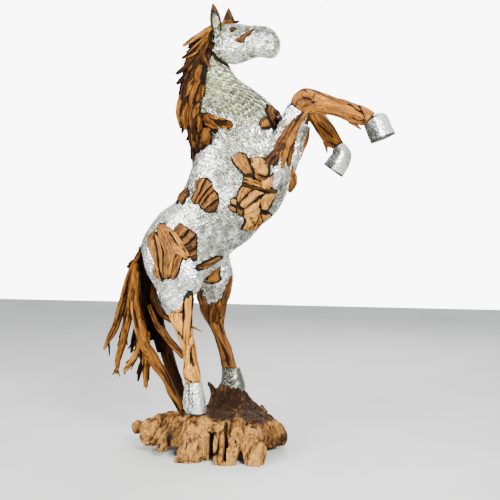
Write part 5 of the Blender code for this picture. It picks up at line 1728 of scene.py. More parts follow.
@dataclass(frozen=True)
class RootWood:
    """The base's weathered root: tan in front, pitted, dark brown on top and behind."""

    name: str = "root_wood"
    deep: tuple = (0.016, 0.0058, 0.0015)
    middle: tuple = (0.125, 0.049, 0.0085)
    light: tuple = (0.40, 0.190, 0.044)
    stops: tuple = (0.44, 0.58, 0.78)       # where those three stand
    shares: tuple = (1.05, 0.95, 0.42)      # of broad clouds, the grain and the tone
    drop: float = 0.665         # taken from the value that picks the colour
    crack_and_shade: tuple = (0.0035, 0.0018, 0.0008)

    def material(self) -> bpy.types.Material:
        """Builds the material."""
        g = Graph(self.name)
        dark, tone = g.attribute("dark"), g.attribute("tone")
        wide = g.noise(g.place, 14, 7, 0.66, 1.0)
        fine = g.streaks(g.place, (80, 80, 26), 6, 0.70, 1.2)
        value = g.weighted(*zip((wide, fine, tone), self.shares))
        base = g.ramp(g.minus(value, self.drop),
                      zip(self.stops, (self.deep, self.middle, self.light)))
        pits = g.span(g.streaks(g.place, (58, 58, 34), 3, 0.5, 0.6), 0.60, 0.66)
        base = g.cover(base, g.times(pits, 0.95), self.crack_and_shade)
        net = g.streaks(g.place, (30, 30, 12), 5, 0.6, 2.0)
        veins = g.times(g.span(net, 0.485, 0.50), g.minus(1.0, g.span(net, 0.50, 0.515)))
        base = g.cover(base, g.times(veins, 0.8), self.crack_and_shade)
        # Painted shade in the creases, flutes and slots, where the mesh is marked dark.
        base = g.cover(base, g.span(dark, 0.05, 0.85), self.crack_and_shade)
        relief = g.bump(wide, 1.0, 0.012)
        relief = g.bump(fine, 1.0, 0.008, relief)
        relief = g.bump(veins, -1.0, 0.004, relief)
        relief = g.bump(pits, -1.0, 0.005, relief)
        rough = g.span(fine, 0.3, 0.7, 0.62, 0.85)
        return g.finish(Base_Color=base, Roughness=rough, Normal=relief,
                        Specular_IOR_Level=DULL_SPECULAR)


@dataclass
class Finishes:
    """Every finish, built once."""

    metal: bpy.types.Material = field(default_factory=lambda: BeatenMetal().material())
    neck_metal: bpy.types.Material = field(default_factory=lambda: BeatenMetal(
        "hammered_aluminium_neck", dull=(0.07, 0.073, 0.040), middle=(0.165, 0.172, 0.095),
        bright=(0.36, 0.365, 0.235), tint=(0.16, 0.18, 0.05), tint_share=0.85,
        rim_highlight_share=0.95, rim=(0.80, 0.81, 0.72), rim_highlight_fall=6.0, dents=0.0022,
        gloss=(0.32, 0.48)).material())
    # A lighter copy of the metal for the thighs and upper forelegs: painted highlight.
    limb_metal: bpy.types.Material = field(default_factory=lambda: BeatenMetal(
        "hammered_aluminium_bright", dull=(0.24, 0.245, 0.21), middle=(0.62, 0.625, 0.575),
        bright=(0.93, 0.93, 0.90), tint_share=0.15, gloss=(0.16, 0.34)).material())
    # A lighter copy of the metal for the hooves, painted highlight, with near-black joints for the
    # painted shade in their pits and folds.
    hoof_metal: bpy.types.Material = field(default_factory=lambda: BeatenMetal(
        "hammered_aluminium_hoof", dull=(0.15, 0.155, 0.13), middle=(0.50, 0.505, 0.46),
        bright=(0.93, 0.93, 0.90), joint_and_shade=(0.006, 0.006, 0.005), tint_share=0.15,
        dents=0.0030, gloss=(0.20, 0.38)).material())
    leg: bpy.types.Material = field(default_factory=lambda: Driftwood(
        "leg_driftwood", middle=(0.150, 0.050, 0.0050), light=(0.38, 0.145, 0.015),
        pale=(0.64, 0.30, 0.055), stain=0.65, spread=0.24).material())
    patch: bpy.types.Material = field(default_factory=lambda: Driftwood(
        "patch_driftwood").material())
    mane: bpy.types.Material = field(default_factory=lambda: Driftwood(
        "mane_driftwood", deep=(0.007, 0.0022, 0.0004), middle=(0.052, 0.0165, 0.0016),
        light=(0.185, 0.068, 0.0080), pale=(0.36, 0.155, 0.024), stain=0.9, spread=0.46,
        figure=0.42, specular=0.06).material())
    root: bpy.types.Material = field(default_factory=lambda: RootWood().material())


@dataclass
class Cladding:
    """The metal-clad body: trunk and neck, head, thighs and upper forelegs."""

    trunk_pattern: TilePattern = TilePattern()
    neck_pattern: TilePattern = TilePattern(
        length=0.034, height=0.0225, slant=60.0, rim=0.0030, middle=0.0002, tilt=0.0004,
        wander=0.003, jitter=0.04, seam=0.0, lanes=(0.010, 0.06, 0.22, 0.78, 0.94, 0.99))
    head_pattern: TilePattern = TilePattern(
        length=0.020, height=0.016, slant=35.0, rim=0.0016, middle=0.0012, wander=0.006,
        jitter=0.14)
    limb_pattern: TilePattern = TilePattern(length=0.029, height=0.021, slant=30.0)
    neck_start: float = 12.2       # place along the trunk where the lattice begins
    seed: int = 11

    def __post_init__(self) -> None:
        """Makes the forms and the reliefs that other pieces lie on."""
        self.trunk, self.head = trunk_form(), head_form()
        self.near_thigh = Form.from_edges(NEAR_THIGH, FULL)
        self.far_thigh = Form.from_edges(FAR_THIGH, FULL)
        self.near_forearm = Form.from_edges(NEAR_FOREARM)
        self.far_forearm = Form.from_edges(FAR_FOREARM)
        self.limbs = (self.near_thigh, self.far_thigh, self.near_forearm, self.far_forearm)
        self.relief = Relief([self.trunk, self.head, *self.limbs])
        self.limb_reliefs = tuple(Relief([limb]) for limb in self.limbs)
        self.head_relief = Relief([head_form(straight=True)])

    def build(self, finishes: Finishes, bare: tuple) -> None:
        """Covers every form with metal pieces over a closed skin.

        Args:
            finishes: The materials.
            bare: Outlines and sides where driftwood lies instead.
        """
        rng = np.random.default_rng(self.seed)
        inside_trunk = (Relief([self.trunk]),)
        trunk_tiles = tile_corners(self.trunk, 0.0, self.neck_start, self.trunk_pattern, rng)
        neck_tiles = tile_corners(self.trunk, self.neck_start, self.trunk.last - 0.6,
                                  self.neck_pattern, rng)
        head_tiles = tile_corners(self.head, 0.0, self.head.last, self.head_pattern, rng)
        trunk = Shell.merged([
            skin_of(self.trunk, 90, 72),
            lay_tiles(self.trunk, trunk_tiles, self.trunk_pattern, self.limb_reliefs, bare, rng)])
        neck = lay_tiles(self.trunk, neck_tiles, self.neck_pattern, self.limb_reliefs, (), rng)
        head = Shell.merged([
            skin_of(self.head, 60, 56),
            lay_tiles(self.head, head_tiles, self.head_pattern, inside_trunk, (), rng)])
        parts = []
        for form in self.limbs:
            corners = tile_corners(form, 0.0, form.last, self.limb_pattern, rng)
            parts += [skin_of(form, 44, 48),
                      lay_tiles(form, corners, self.limb_pattern, inside_trunk, bare, rng)]
        trunk.piece("trunk_metal", METAL, finishes.metal, nodes=("clad_body",))
        neck.piece("neck_metal", METAL, finishes.neck_metal)
        head.piece("head_metal", METAL, finishes.metal)
        lip_relief = Relief([self.near_thigh, Form.from_edges(NEAR_SHANK)])

        def place(x: np.ndarray, z: np.ndarray, height: np.ndarray) -> np.ndarray:
            """Points over the near thigh and the top of its shank."""
            return lip_relief.place(Side.NEAR, x, z, height)

        lip = strip(*THIGH_LIP, place, 0.0060, self.seed)
        lip.tone[:] = 0.9
        parts.append(lip)
        Shell.merged(parts).piece("thigh_and_forearm_metal", METAL, finishes.limb_metal)


@dataclass
class Legs:
    """Cannons and shanks of root wood, beaten metal hooves, and strips of root."""

    seed: int = 23
    shadow: float = 0.006       # how far out of the metal the wood is darkened as painted shadow
    low: float = 1.58           # height under which the near elbow's wood darkens
    chips: int = 3              # on each piece laid over an edge
    chip_reach: float = 0.004
    chip_thick: tuple = (0.005, 0.011)

    def build(self, finishes: Finishes, body: Cladding) -> None:
        """Makes the four lower legs, their hooves and the strips that run up them.

        Args:
            finishes: The materials.
            body: Gives the limbs whose metal meets the wood.
        """
        # Sections, twig, seed, tone, and the number of the limb whose metal joins it.
        wood = {
            "right_fore_cannon": (NEAR_CANNON, NEAR_ERGOT, 23, 0.70, 2),
            "left_fore_cannon": (FAR_CANNON, FAR_ERGOT, 24, 0.55, 3),
            "right_hind_shank": (NEAR_SHANK, TWIG, 61, 1.45, 0),
            "left_hind_shank": (FAR_SHANK, None, 26, 0.4, 1),
        }
        for i, (name, (stations, twig, seed, tone, limb)) in enumerate(wood.items()):
            parts = [carved(Form.from_edges(stations), seed, tone=tone,
                            cracks=CRACKS[name], knots=KNOTS[name])]
            # Painted shadow: the wood is darkened where it lies within that distance of the metal.
            joint_and_shade = body.limb_reliefs[limb].holds(parts[0].points, -self.shadow)
            parts[0].dark = np.maximum(parts[0].dark, 0.9 * joint_and_shade)
            if name == "right_hind_shank":
                parts.append(stick(SHANK_STEM, STICK_FLAT, self.seed + 9, sides=48,
                                   spacing=FINE, groove=0.12, tone=1.25, edge_shade=0.9))
                # A dark stick behind the stem: painted shadow where it meets the metal.
                parts.append(stick(STEM_SHADOW, STICK_FLAT, self.seed + 8, sides=32))
                parts[-1].dark[:] = 1.0
            if twig:
                flatness = TWIG_FLAT if twig is TWIG else STICK_FLAT
                parts.append(stick(twig, flatness, self.seed + 10 + i, tone=0.35))
            if name == "left_hind_shank":
                parts += [stick(points, STICK_FLAT, self.seed + 15 + j, sides=32,
                                spacing=FINE, groove=0.18, tone=0.2, edge_shade=0.8)
                          for j, points in enumerate(THIGH_EDGES)]
            shell = Shell.merged(parts)
            shell.piece(name + "_wood", LEG_WOOD, finishes.leg, nodes=(name,))
        # Sections and their power, height of the folds, depth of the pits, tone and painted light.
        hooves = {"right_hind_hoof": (NEAR_CAP, FULL, 0.0014, 0.003, 1.1, 0.2),
                  "left_hind_hoof": (FAR_CAP, FULL, 0.0014, 0.002, -0.4, 0.0),
                  "right_fore_hoof": (NEAR_HOOF, 1.3, 0.0008, 0.0, 0.7, 1.1),
                  "left_fore_hoof": (FAR_HOOF, 1.6, 0.0010, 0.0, 0.5, 0.4)}
        for i, (name, (stations, power, *look)) in enumerate(hooves.items()):
            shell = beaten(Form.from_edges(stations, power), self.seed + 40 + i, *look)
            shell.piece(name + "_metal", METAL, finishes.hoof_metal, nodes=(name,))
        shell = stick(LEFT_FOREARM_ROOT, 0.75, self.seed + 31, sides=36, steps=1.0, spacing=FINE)
        shell.piece("left_forearm_root_wood", LEG_WOOD, finishes.leg,
                    nodes=("left_forearm_root",))
        self.edge_pieces(finishes)

    def edge_pieces(self, finishes: Finishes) -> None:
        """Makes the chipped wood over the edges of the metal, and under the near one a dark
        copy of each piece as painted shadow.

        Args:
            finishes: The materials.
        """
        rng = np.random.default_rng(self.seed)
        for name, pieces in EDGE_PIECES.items():
            near = name == "right_forearm_root"
            slot = LEG_WOOD if near else PATCH_WOOD
            parts = []
            for j, points in enumerate(pieces):
                # A dark copy, set in and a little larger: painted shadow under the near piece.
                rows = np.array(points)
                inward = -0.010 * np.sign(rows[:, 1:2])
                shade = np.hstack((rows[:, :1] - 0.003, rows[:, 1:2] + inward,
                                   rows[:, 2:3] - 0.002, rows[:, 3:] + 0.0030))
                under = stick(shade, STICK_FLAT, self.seed + 50 + j, sides=24)
                under.dark[:] = 1.0
                over = stick(points, STICK_FLAT, self.seed + 50 + j, sides=36, spacing=FINE,
                             groove=0.18, lumps=0.2, tone=0.6 - 0.15 * j, wobble=0.004)
                over.dark = np.maximum(over.dark, 0.13 * j * (over.points[:, 2] < self.low))
                chips = [splinter(points, self.chip_reach, self.chip_thick,
                                  self.seed + 70 + 9 * j + k, rng) for k in range(self.chips)]
                parts += [over, *chips]
                if near:
                    parts.append(under)
            Shell.merged(parts).piece(name + "_wood", slot, finishes.leg, nodes=(name,))


def boards_of(outline: tuple, count: int, angle: float) -> list:
    """Edge pairs of boards that split an outline along a direction.

    Each board lies between two parallel lines; its edges run where those lines are
    inside the outline.

    Args:
        outline: Corners in x and z.
        count: How many boards.
        angle: Direction of the boards in degrees, 0 along x and 90 upward.

    Returns:
        Pairs of edges, each three (x, z) places.
    """
    a = math.radians(angle)
    run, across = np.array((math.cos(a), math.sin(a))), np.array((-math.sin(a), math.cos(a)))
    corners = np.asarray(outline, float)
    u, v = corners @ run, corners @ across
    after_u, after_v = np.roll(u, -1), np.roll(v, -1)
    cuts = np.linspace(v.min(), v.max(), count + 1)
    cuts[0] += 0.006
    cuts[-1] -= 0.006

    def edge(cut: float) -> np.ndarray:
        """The stretch of one line inside the outline."""
        crossed = (v > cut) != (after_v > cut)
        share = (cut - v[crossed]) / (after_v[crossed] - v[crossed])
        reach = u[crossed] + share * (after_u[crossed] - u[crossed])
        return np.linspace(reach.min(), reach.max(), 3)[:, None] * run + cut * across

    gap = 0.0012 * across
    return [(edge(low) + gap, edge(high) - gap) for low, high in zip(cuts[:-1], cuts[1:])]


def shadow_plate(outline: tuple, place: Callable, height: float, rings: int = 8,
                  sides: int = 60) -> Shell:
    """A dark layer over an outline, painted shadow under the boards, closed underneath.

    A point is the outline's middle blended with a place on the outline, and its height
    falls to zero at the edge; the underside repeats it sunk below the metal.

    Args:
        outline: Corners in x and z.
        place: Function of x, z and height that gives points on the surface.
        height: Height of the layer.
        rings: Rings from the middle to the edge.
        sides: Points round a ring.

    Returns:
        The closed shell.
    """
    corners = np.asarray(outline, float)
    middle = corners.mean(0)
    closed = np.vstack((corners, corners[:1]))
    run = lengths(closed)
    where = np.linspace(0, run[-1], sides, endpoint=False)
    edge = np.stack([np.interp(where, run, closed[:, k]) for k in (0, 1)], axis=-1)
    share = np.linspace(0.02, 1, rings)
    share = np.concatenate((share, share[::-1]))
    level = np.concatenate((np.full(rings, height), np.full(rings, -0.004)))
    flat = middle + (edge - middle)[None] * share[:, None, None]
    heights = np.broadcast_to(level[:, None], flat.shape[:2])
    points = place(flat[..., 0], flat[..., 1], heights)
    return closed_rings(points, 0.0, np.ones(flat.shape[:2]), points)


@dataclass
class Patches:
    """Driftwood boards let into the metal, on a dark layer, painted shadow in the gaps."""

    shadow_backing: float = 0.0045     # height of the dark strip under each board, painted shadow
    plate: float = 0.0036       # and of the dark plate under them all, painted shadow
    border: float = 0.0078      # how far the painted shadow shows round the boards
    seed: int = 40

    def build(self, finishes: Finishes, body: Cladding) -> None:
        """Makes each patch from its boards, then the head's inlays.

        Args:
            finishes: The materials.
            body: Gives the surfaces that it lies on.
        """
        for i, (name, patch) in enumerate(PATCHES.items()):
            relief = body.limb_reliefs[1] if name == FAR_THIGH_PATCH else body.relief
            boards = patch.boards or boards_of(patch.outline, *patch.split)

            def place(x: np.ndarray, z: np.ndarray, height: np.ndarray) -> np.ndarray:
                """Points over the metal on this patch's side."""
                return relief.place(patch.side, x, z, height)

            parts = [shadow_plate(shrunk(patch.outline, PLATE_SHARE), place, self.plate)]
            for j, (first, second) in enumerate(boards):
                seed = self.seed + 31 * i + j
                # A dark strip under each board: painted shadow in the gaps round it.
                parts.append(strip(first, second, place, self.shadow_backing, seed, self.border, True))
                board = strip(first, second, place, patch.thick, seed)
                board.tone[:] = np.random.default_rng(seed).uniform(*patch.tones)
                board.dark[:] = np.maximum(board.dark, dict(patch.shades).get(j, 0.0))
                parts.append(board)
            shell = Shell.merged(parts)
            shell.piece(name + "_boards", PATCH_WOOD, finishes.patch, nodes=(name,))
        self.inlay("right_eye", EYE, Side.NEAR, EYE_THICK, finishes, body)
        self.inlay("left_eye", EYE, Side.FAR, EYE_THICK, finishes, body)
        self.inlay("cheek_strip", CHEEK_STRIP, Side.NEAR, CHEEK_THICK, finishes, body)

    def inlay(self, name: str, edges: tuple, side: Side, thick: float, finishes: Finishes,
              body: Cladding) -> None:
        """Makes an eye or the cheek strip, on the straight head and then turned.

        Args:
            name: The node it stands for.
            edges: Its two edges on the straight head.
            side: The side of the head.
            thick: How far it stands out.
            finishes: The materials.
            body: Gives the head's surface.
        """

        def place(x: np.ndarray, z: np.ndarray, height: np.ndarray) -> np.ndarray:
            """Points over the head's metal, after it turns."""
            return turned(body.head_relief.place(side, x, z, height))

        seed = self.seed + len(name)
        # A dark strip under the inlay: painted shadow round it.
        parts = [strip(*edges, place, 0.0058, seed, 0.0045, True),
                 strip(*edges, place, thick, seed)]
        parts[1].tone[:] = HEAD_TONE
        Shell.merged(parts).piece(name + "_inlay", PATCH_WOOD, finishes.patch, nodes=(name,))


@dataclass
class Mane:
    """The mane's locks and shards, the withers root, the ears and the forelock."""

    seed: int = 60
    layers: tuple = ((Side.NEAR, 66, 1.0), (Side.FAR, 38, 1.0),
                     (Side.NEAR, 28, 0.25))     # side, how many shards, how far out
    steep: tuple = (40.0, 86.0)         # fall of the shards below level, poll and withers
    length: tuple = (0.095, 0.180)      # of a shard
    width: tuple = (0.0130, 0.0215)
    start: tuple = (-0.08, 0.62)        # from the mane's roots to its free edge
    flatness: tuple = (0.34, 0.55)
    tones: tuple = (-0.1, 0.85)
    clearance: float = 0.012            # of the outermost shards from the neck
    chips: int = 9                      # splinters on each arm of the withers root
    chip_reach: float = 0.016
    chip_thick: tuple = (0.007, 0.014)

    def shard(self, side: Side, share: float, spread: float, body: Cladding, number: int,
              rng: np.random.Generator) -> Shell:
        """One flat splinter of the mane.

        It starts between the root line and the free edge, falls at an angle that
        steepens down the neck, and closes in on the middle of the crest as it goes.

        Args:
            side: The side of the neck it hangs on.
            share: Place down the mane, 0 at the poll and 1 at the withers.
            spread: How far out from the crest it lies, 1 on the neck's side.
            body: Gives the neck's surface.
            number: Chooses its flutes.
            rng: Source of its length, fall and bend.

        Returns:
            The closed shell.
        """
        root = spline(MANE_ROOTS, share * (len(MANE_ROOTS) - 1))
        edge = spline(MANE_EDGE, share * (len(MANE_EDGE) - 1))
        start = rng.uniform(*self.start)
        first = root + (edge - root) * start
        fall = math.radians(self.steep[0] + (self.steep[1] - self.steep[0]) * share ** 0.8
                            + rng.uniform(-13, 13))
        length = rng.uniform(*self.length) * (1 - 0.25 * start)
        step = np.array((-math.cos(fall), -math.sin(fall))) * length / 3
        bow = np.array((step[1], -step[0])) * rng.uniform(-0.25, 0.25)
        skin = float(body.relief.read(side, *root)) + side.value * self.clearance
        width = rng.uniform(*self.width)
        rows = []
        for k, (bend, swell) in enumerate(((0, 0.70), (1, 1.0), (1, 0.85), (0, 0.25))):
            place = first + step * k + bow * bend
            out = np.clip((place[0] - edge[0]) / (root[0] - edge[0]), 0.0, 1.0)
            y = skin * spread * (0.16 + 0.84 * out ** 0.7) + rng.uniform(-0.003, 0.003)
            rows.append((place[0], y, place[1], width * swell))
        shell = stick(tuple(rows), rng.uniform(*self.flatness), self.seed + 200 + number,
                      spacing=0.010, groove=0.16, tone=rng.uniform(*self.tones), edge_shade=1.0)
        down = shell.grain[:, 0] - shell.grain[:, 0].min()
        root_shade = clamp(1.0 - down / (0.30 * length))
        tip_shade = np.clip(down / length * 5 - 4.3, 0, 0.8)
        shell.dark = np.maximum(shell.dark, np.maximum(root_shade, tip_shade))
        return shell

    def build(self, finishes: Finishes, body: Cladding) -> None:
        """Makes the locks one by one, then the shards between them.

        Args:
            finishes: The materials.
            body: Gives the neck's surface.
        """
        for i, points in enumerate(MANE_LOCKS):
            name = f"mane_lock_{i + 1:02d}"
            flatness = 0.6 if points is MANE_LOCKS[-1] else 0.5
            shell = stick(points, flatness, self.seed + i, phase=i, sides=28, groove=0.16,
                          edge_shade=0.8)
            shell.piece(name + "_wood", MANE_WOOD, finishes.mane, nodes=(name,))
        chips = np.random.default_rng(self.seed + 1)
        for i, (name, (flatness, arms)) in enumerate(CLUSTERS.items()):
            parts = [stick(points, flatness, self.seed + 20 + 5 * i + j, steps=1.0, phase=j,
                           sides=32, groove=0.30, lumps=0.25, spacing=0.005, edge_shade=0.8,
                           tone=0.45 if name == "tail_core" and j > 2 else -0.05)
                     for j, points in enumerate(arms)]
            if name == "withers_root":
                parts += [splinter(points, self.chip_reach, self.chip_thick,
                                   self.seed + 400 + 9 * j + k, chips)
                          for j, points in enumerate(arms) for k in range(self.chips)]
                parts += [stick(points, STICK_FLAT, self.seed + 450 + j, sides=28,
                                spacing=0.005, groove=0.32, lumps=0.34, tone=0.6, edge_shade=1.0,
                                wobble=0.005)
                          for j, points in enumerate(WITHERS_KNOBS)]
            shell = Shell.merged(parts)
            # The mane's back locks are darkened as painted shade behind the near ones.
            if name.startswith("mane"):
                shell.dark = np.maximum(shell.dark, 0.6)
            shell.piece(name + "_wood", MANE_WOOD, finishes.mane, nodes=(name,))
        rng = np.random.default_rng(self.seed)
        shards = []
        for side, count, spread in self.layers:
            for k in range(count):
                share = clamp((k + rng.uniform(-0.5, 0.5)) / (count - 1))
                shards.append(self.shard(side, share, spread, body, len(shards), rng))
        Shell.merged(shards).piece("mane_shards", MANE_WOOD, finishes.mane)
        shell = stick(JAW_STICK, STICK_FLAT, self.seed + 80, tone=0.0)
        shell.dark = np.maximum(shell.dark, 0.5)
        shell.piece("jaw_stick_wood", MANE_WOOD, finishes.mane, nodes=("jaw_stick",))
        self.ears(finishes)

    def ears(self, finishes: Finishes) -> None:
        """Makes the ears, the near one lined with metal, and the forelock's curls.

        Args:
            finishes: The materials.
        """
        pieces = {"right_ear": (RIGHT_EAR, EAR_FLAT), "left_ear": (LEFT_EAR, EAR_FLAT),
                  "forelock": (FORELOCK, STICK_FLAT)}
        for name, (points, flatness) in pieces.items():
            parts = [stick(points, flatness, self.seed + 81, sides=40, lumps=0.0, tone=0.0)]
            if name == "forelock":
                parts += [stick(curl, STICK_FLAT, self.seed + 90 + j, sides=24)
                          for j, curl in enumerate(FORELOCK_CURLS)]
            shell = Shell.merged(parts)
            height = shell.points[:, 2]
            # Painted shade: a dark band where the near ear's lining ends, and the far ear darker
            # below where it comes out of the head.
            if name == "right_ear":
                shell.dark = np.maximum(shell.dark, bell((height - LINING_TOP) / 0.007))
            if name == "left_ear":
                shell.dark = np.maximum(shell.dark, clamp((EAR_FOOT - height) / 0.015))
            shell.piece(name + "_wood", PATCH_WOOD, finishes.patch, nodes=(name,))
        lining = stick(RIGHT_EAR_LINING, 0.5, self.seed + 85, sides=40, lumps=0.0, groove=0.02)
        lining.dark[:] = 0.0
        lining.piece("right_ear_lining", METAL, finishes.metal)


@dataclass
class Tail:
    """The tail's branches, their splinters and the braces that carry it to the base."""

    seed: int = 120
    flatness: float = 0.9
    twigs: int = 3              # on each loose branch
    splinters: int = 5          # beside each branch
    stray: float = 0.014        # how far a splinter leaves its branch
    thick: tuple = (0.005, 0.010)

    def twig(self, points: tuple, number: int, rng: np.random.Generator) -> Shell:
        """A short twig that forks off a branch near its end.

        Args:
            points: Rows of x, y, z and radius of the branch.
            number: Chooses its flutes.
            rng: Source of its place, direction and tone.

        Returns:
            The closed shell.
        """
        last = len(points) - 1
        where = rng.uniform(0.45, 0.92) * last
        here = spline(points, where)
        ahead = unit(spline(points, min(where + 0.1, last))[:3] - here[:3] + 1e-9)
        away = unit(ahead + np.array((rng.uniform(-1.0, 0.9), rng.uniform(-0.6, 0.6), 0.0)))
        length = rng.uniform(0.025, 0.065)
        thick = min(float(here[3]) * 0.6, 0.008)
        rows = [(*(here[:3] + away * length * k / 3 + ahead * length * 0.1 * k * k / 3),
                 thick * swell) for k, swell in enumerate((1.0, 0.9, 0.7, 0.35))]
        return stick(rows, self.flatness, self.seed + 500 + number, sides=12, spacing=0.008,
                     groove=0.12, tone=rng.uniform(0, 0.6))

    def build(self, finishes: Finishes) -> None:
        """Makes each branch, then the splinters and twigs along them.

        Args:
            finishes: The materials.
        """
        rng = np.random.default_rng(self.seed)
        extra = []
        for i, (name, points) in enumerate(TAIL.items()):
            shell = stick(points, self.flatness, self.seed + i, phase=i, sides=30, groove=0.18,
                          spacing=0.006, lumps=0.16, wobble=0.006, edge_shade=0.45,
                          tone=TAIL_TONES.get(name))
            shell.piece(name + "_wood", MANE_WOOD, finishes.mane, nodes=(name,))
            if name.startswith("hock"):
                continue
            self.splinter_off(points, extra, rng)
            if name.startswith("tail_branch"):
                for _ in range(self.twigs):
                    extra.append(self.twig(points, len(extra), rng))
        for points in CLUSTERS["tail_core"][1]:
            self.splinter_off(points, extra, rng)
        Shell.merged(extra).piece("tail_splinters", MANE_WOOD, finishes.mane)

    def splinter_off(self, points: tuple, extra: list, rng: np.random.Generator) -> None:
        """Adds the splinters beside one branch.

        Args:
            points: Rows of x, y, z and radius of the branch.
            extra: The list of shells that they are added to.
            rng: Source of their places.
        """
        for _ in range(self.splinters):
            extra.append(splinter(points, self.stray, self.thick,
                                  self.seed + 300 + len(extra), rng))


@dataclass
class Base:
    """The root base: limbs that melt into one another, with slots, cracks and pits."""

    step: float = 0.0055        # of the grid
    blend: float = 0.0105       # how widely limbs melt together
    draw_in: float = 0.004      # taken off each limb's radius
    lobe: float = 0.0150        # heights of the broad lobes, the flutes and the creases
    flute: float = 0.0100
    crease: float = 0.0150
    lobe_waves: tuple = (30, 30, 17)        # fineness of each along x, y and z
    flute_waves: tuple = (105, 105, 30)
    split_waves: tuple = (42, 42, 15)
    split_width: float = 0.06
    lip: float = 0.006          # how far round a slot the wood is painted dark as shade
    mouth: float = -0.235       # y behind which a slot is painted dark as shade
    seed: int = 200
    low: tuple = (-0.50, -0.33, -0.010)     # corners of the grid
    high: tuple = (0.46, 0.31, 0.37)
    core: tuple = ((0.055, 0.010, 0.085), (0.205, 0.175, 0.118))    # middle and half size

    def folds(self, x: np.ndarray, y: np.ndarray, z: np.ndarray) -> tuple:
        """Noises that shape the root.

        Args:
            x: Coordinates of the places, arrays of one shape.
            y: The same along y.
            z: The same along z.

        Returns:
            The lobes, the flutes down it, and the creases between them.
        """
        lobes = solid(self.seed, (x, y, z), self.lobe_waves)
        flutes = solid(self.seed + 1, (x, y, z), self.flute_waves)
        split = solid(self.seed + 2, (x, y, z), self.split_waves)
        return lobes, flutes, bell(split / self.split_width)

    def field_values(self) -> np.ndarray:
        """Distance to the root over a grid, less than zero inside it.

        Limbs are tapering capsules joined by a smooth least value, the core is a flat
        ellipsoid, the slots are taken away, and noise makes lobes, flutes and creases.

        Returns:
            The field.
        """
        axes = [np.arange(a, b, self.step) for a, b in zip(self.low, self.high)]
        x, y, z = (a.astype(np.float32) for a in np.meshgrid(*axes, indexing="ij"))
        (cx, cy, cz), (rx, ry, rz) = self.core
        core = (np.sqrt(((x - cx) / rx) ** 2 + ((y - cy) / ry) ** 2 + ((z - cz) / rz) ** 2)
                - 1) * rz
        total = np.exp(-core / self.blend)
        for points in ROOT_LIMBS:
            rows = spline(points, np.linspace(0, len(points) - 1, 2 * len(points) - 1))
            for a, b in zip(rows[:-1], rows[1:]):
                d = b[:3] - a[:3]
                t = ((x - a[0]) * d[0] + (y - a[1]) * d[1] + (z - a[2]) * d[2]) / (d @ d)
                t = clamp(t)
                away = np.sqrt((x - a[0] - t * d[0]) ** 2 + (y - a[1] - t * d[1]) ** 2
                               + (z - a[2] - t * d[2]) ** 2)
                radius = a[3] + (b[3] - a[3]) * t
                total += np.exp(-(away - radius + self.draw_in) / self.blend)
        values = -self.blend * np.log(total)
        lobes, flutes, crease = self.folds(x, y, z)
        values += self.lobe * lobes + self.flute * flutes + self.crease * crease
        for (sx, sy, sz), (hx, hy, hz) in BASE_SLOTS:
            narrow = 1 - 28 * hx * clamp((z - sz + hz) / (2 * hz)) ** 1.5
            slot = np.maximum(np.maximum(np.abs(x - sx) - hx * narrow, np.abs(y - sy) - hy),
                              np.abs(z - sz) - hz)
            values = np.maximum(values, 0.004 * flutes - slot)
        return np.maximum(values, -z)

    def build(self, finishes: Finishes) -> None:
        """Makes the base as one skin, with painted shade in its creases, flutes, hollows and
        slots, and a darker tone on top.

        Args:
            finishes: The materials.
        """
        points, faces = surface_net(self.field_values(), np.array(self.low), self.step)
        x, y, z = points.T
        lobes, flutes, crease = self.folds(x, y, z)
        # Painted shade in the flutes, the hollows between lobes and the creases.
        dark = clamp(flutes * 1.1 - 0.30) + clamp(lobes * 0.9 - 0.4) + crease
        # Painted shade inside the slots.
        for (sx, sy, sz), (hx, hy, hz) in BASE_SLOTS:
            inside = ((np.abs(x - sx) < hx + self.lip) & (np.abs(y - sy) < hy)
                      & (np.abs(z - sz) < hz + self.lip) & (y > self.mouth))
            dark = np.maximum(dark, inside * HOLLOW_DARK)
        top = (clamp((z - 0.160) / 0.03) * clamp((y + 0.20) / 0.06)
               * clamp((x + 0.4 * y + 0.06) / 0.05))
        front = clamp(0.85 - (y + 0.20) * 1.6) * (1 - top)
        front = np.maximum(front, 0.14 * top)
        root = Shell(points, [faces], front, clamp(dark * 0.8), np.zeros(len(points)), points)
        root.piece("root_base_wood", ROOT_WOOD, finishes.root, sharp=60, nodes=("root_base",))
        shards = [stick(rows, 0.5, self.seed + 20 + j, sides=28, groove=0.22, lumps=0.25,
                        spacing=0.005, tone=0.95, edge_shade=0.6, wobble=0.004)
                  for j, rows in enumerate(BASE_SHARDS)]
        for shard in shards:
            shard.grain = shard.points
        Shell.merged(shards).piece("root_base_shards", ROOT_WOOD, finishes.root)


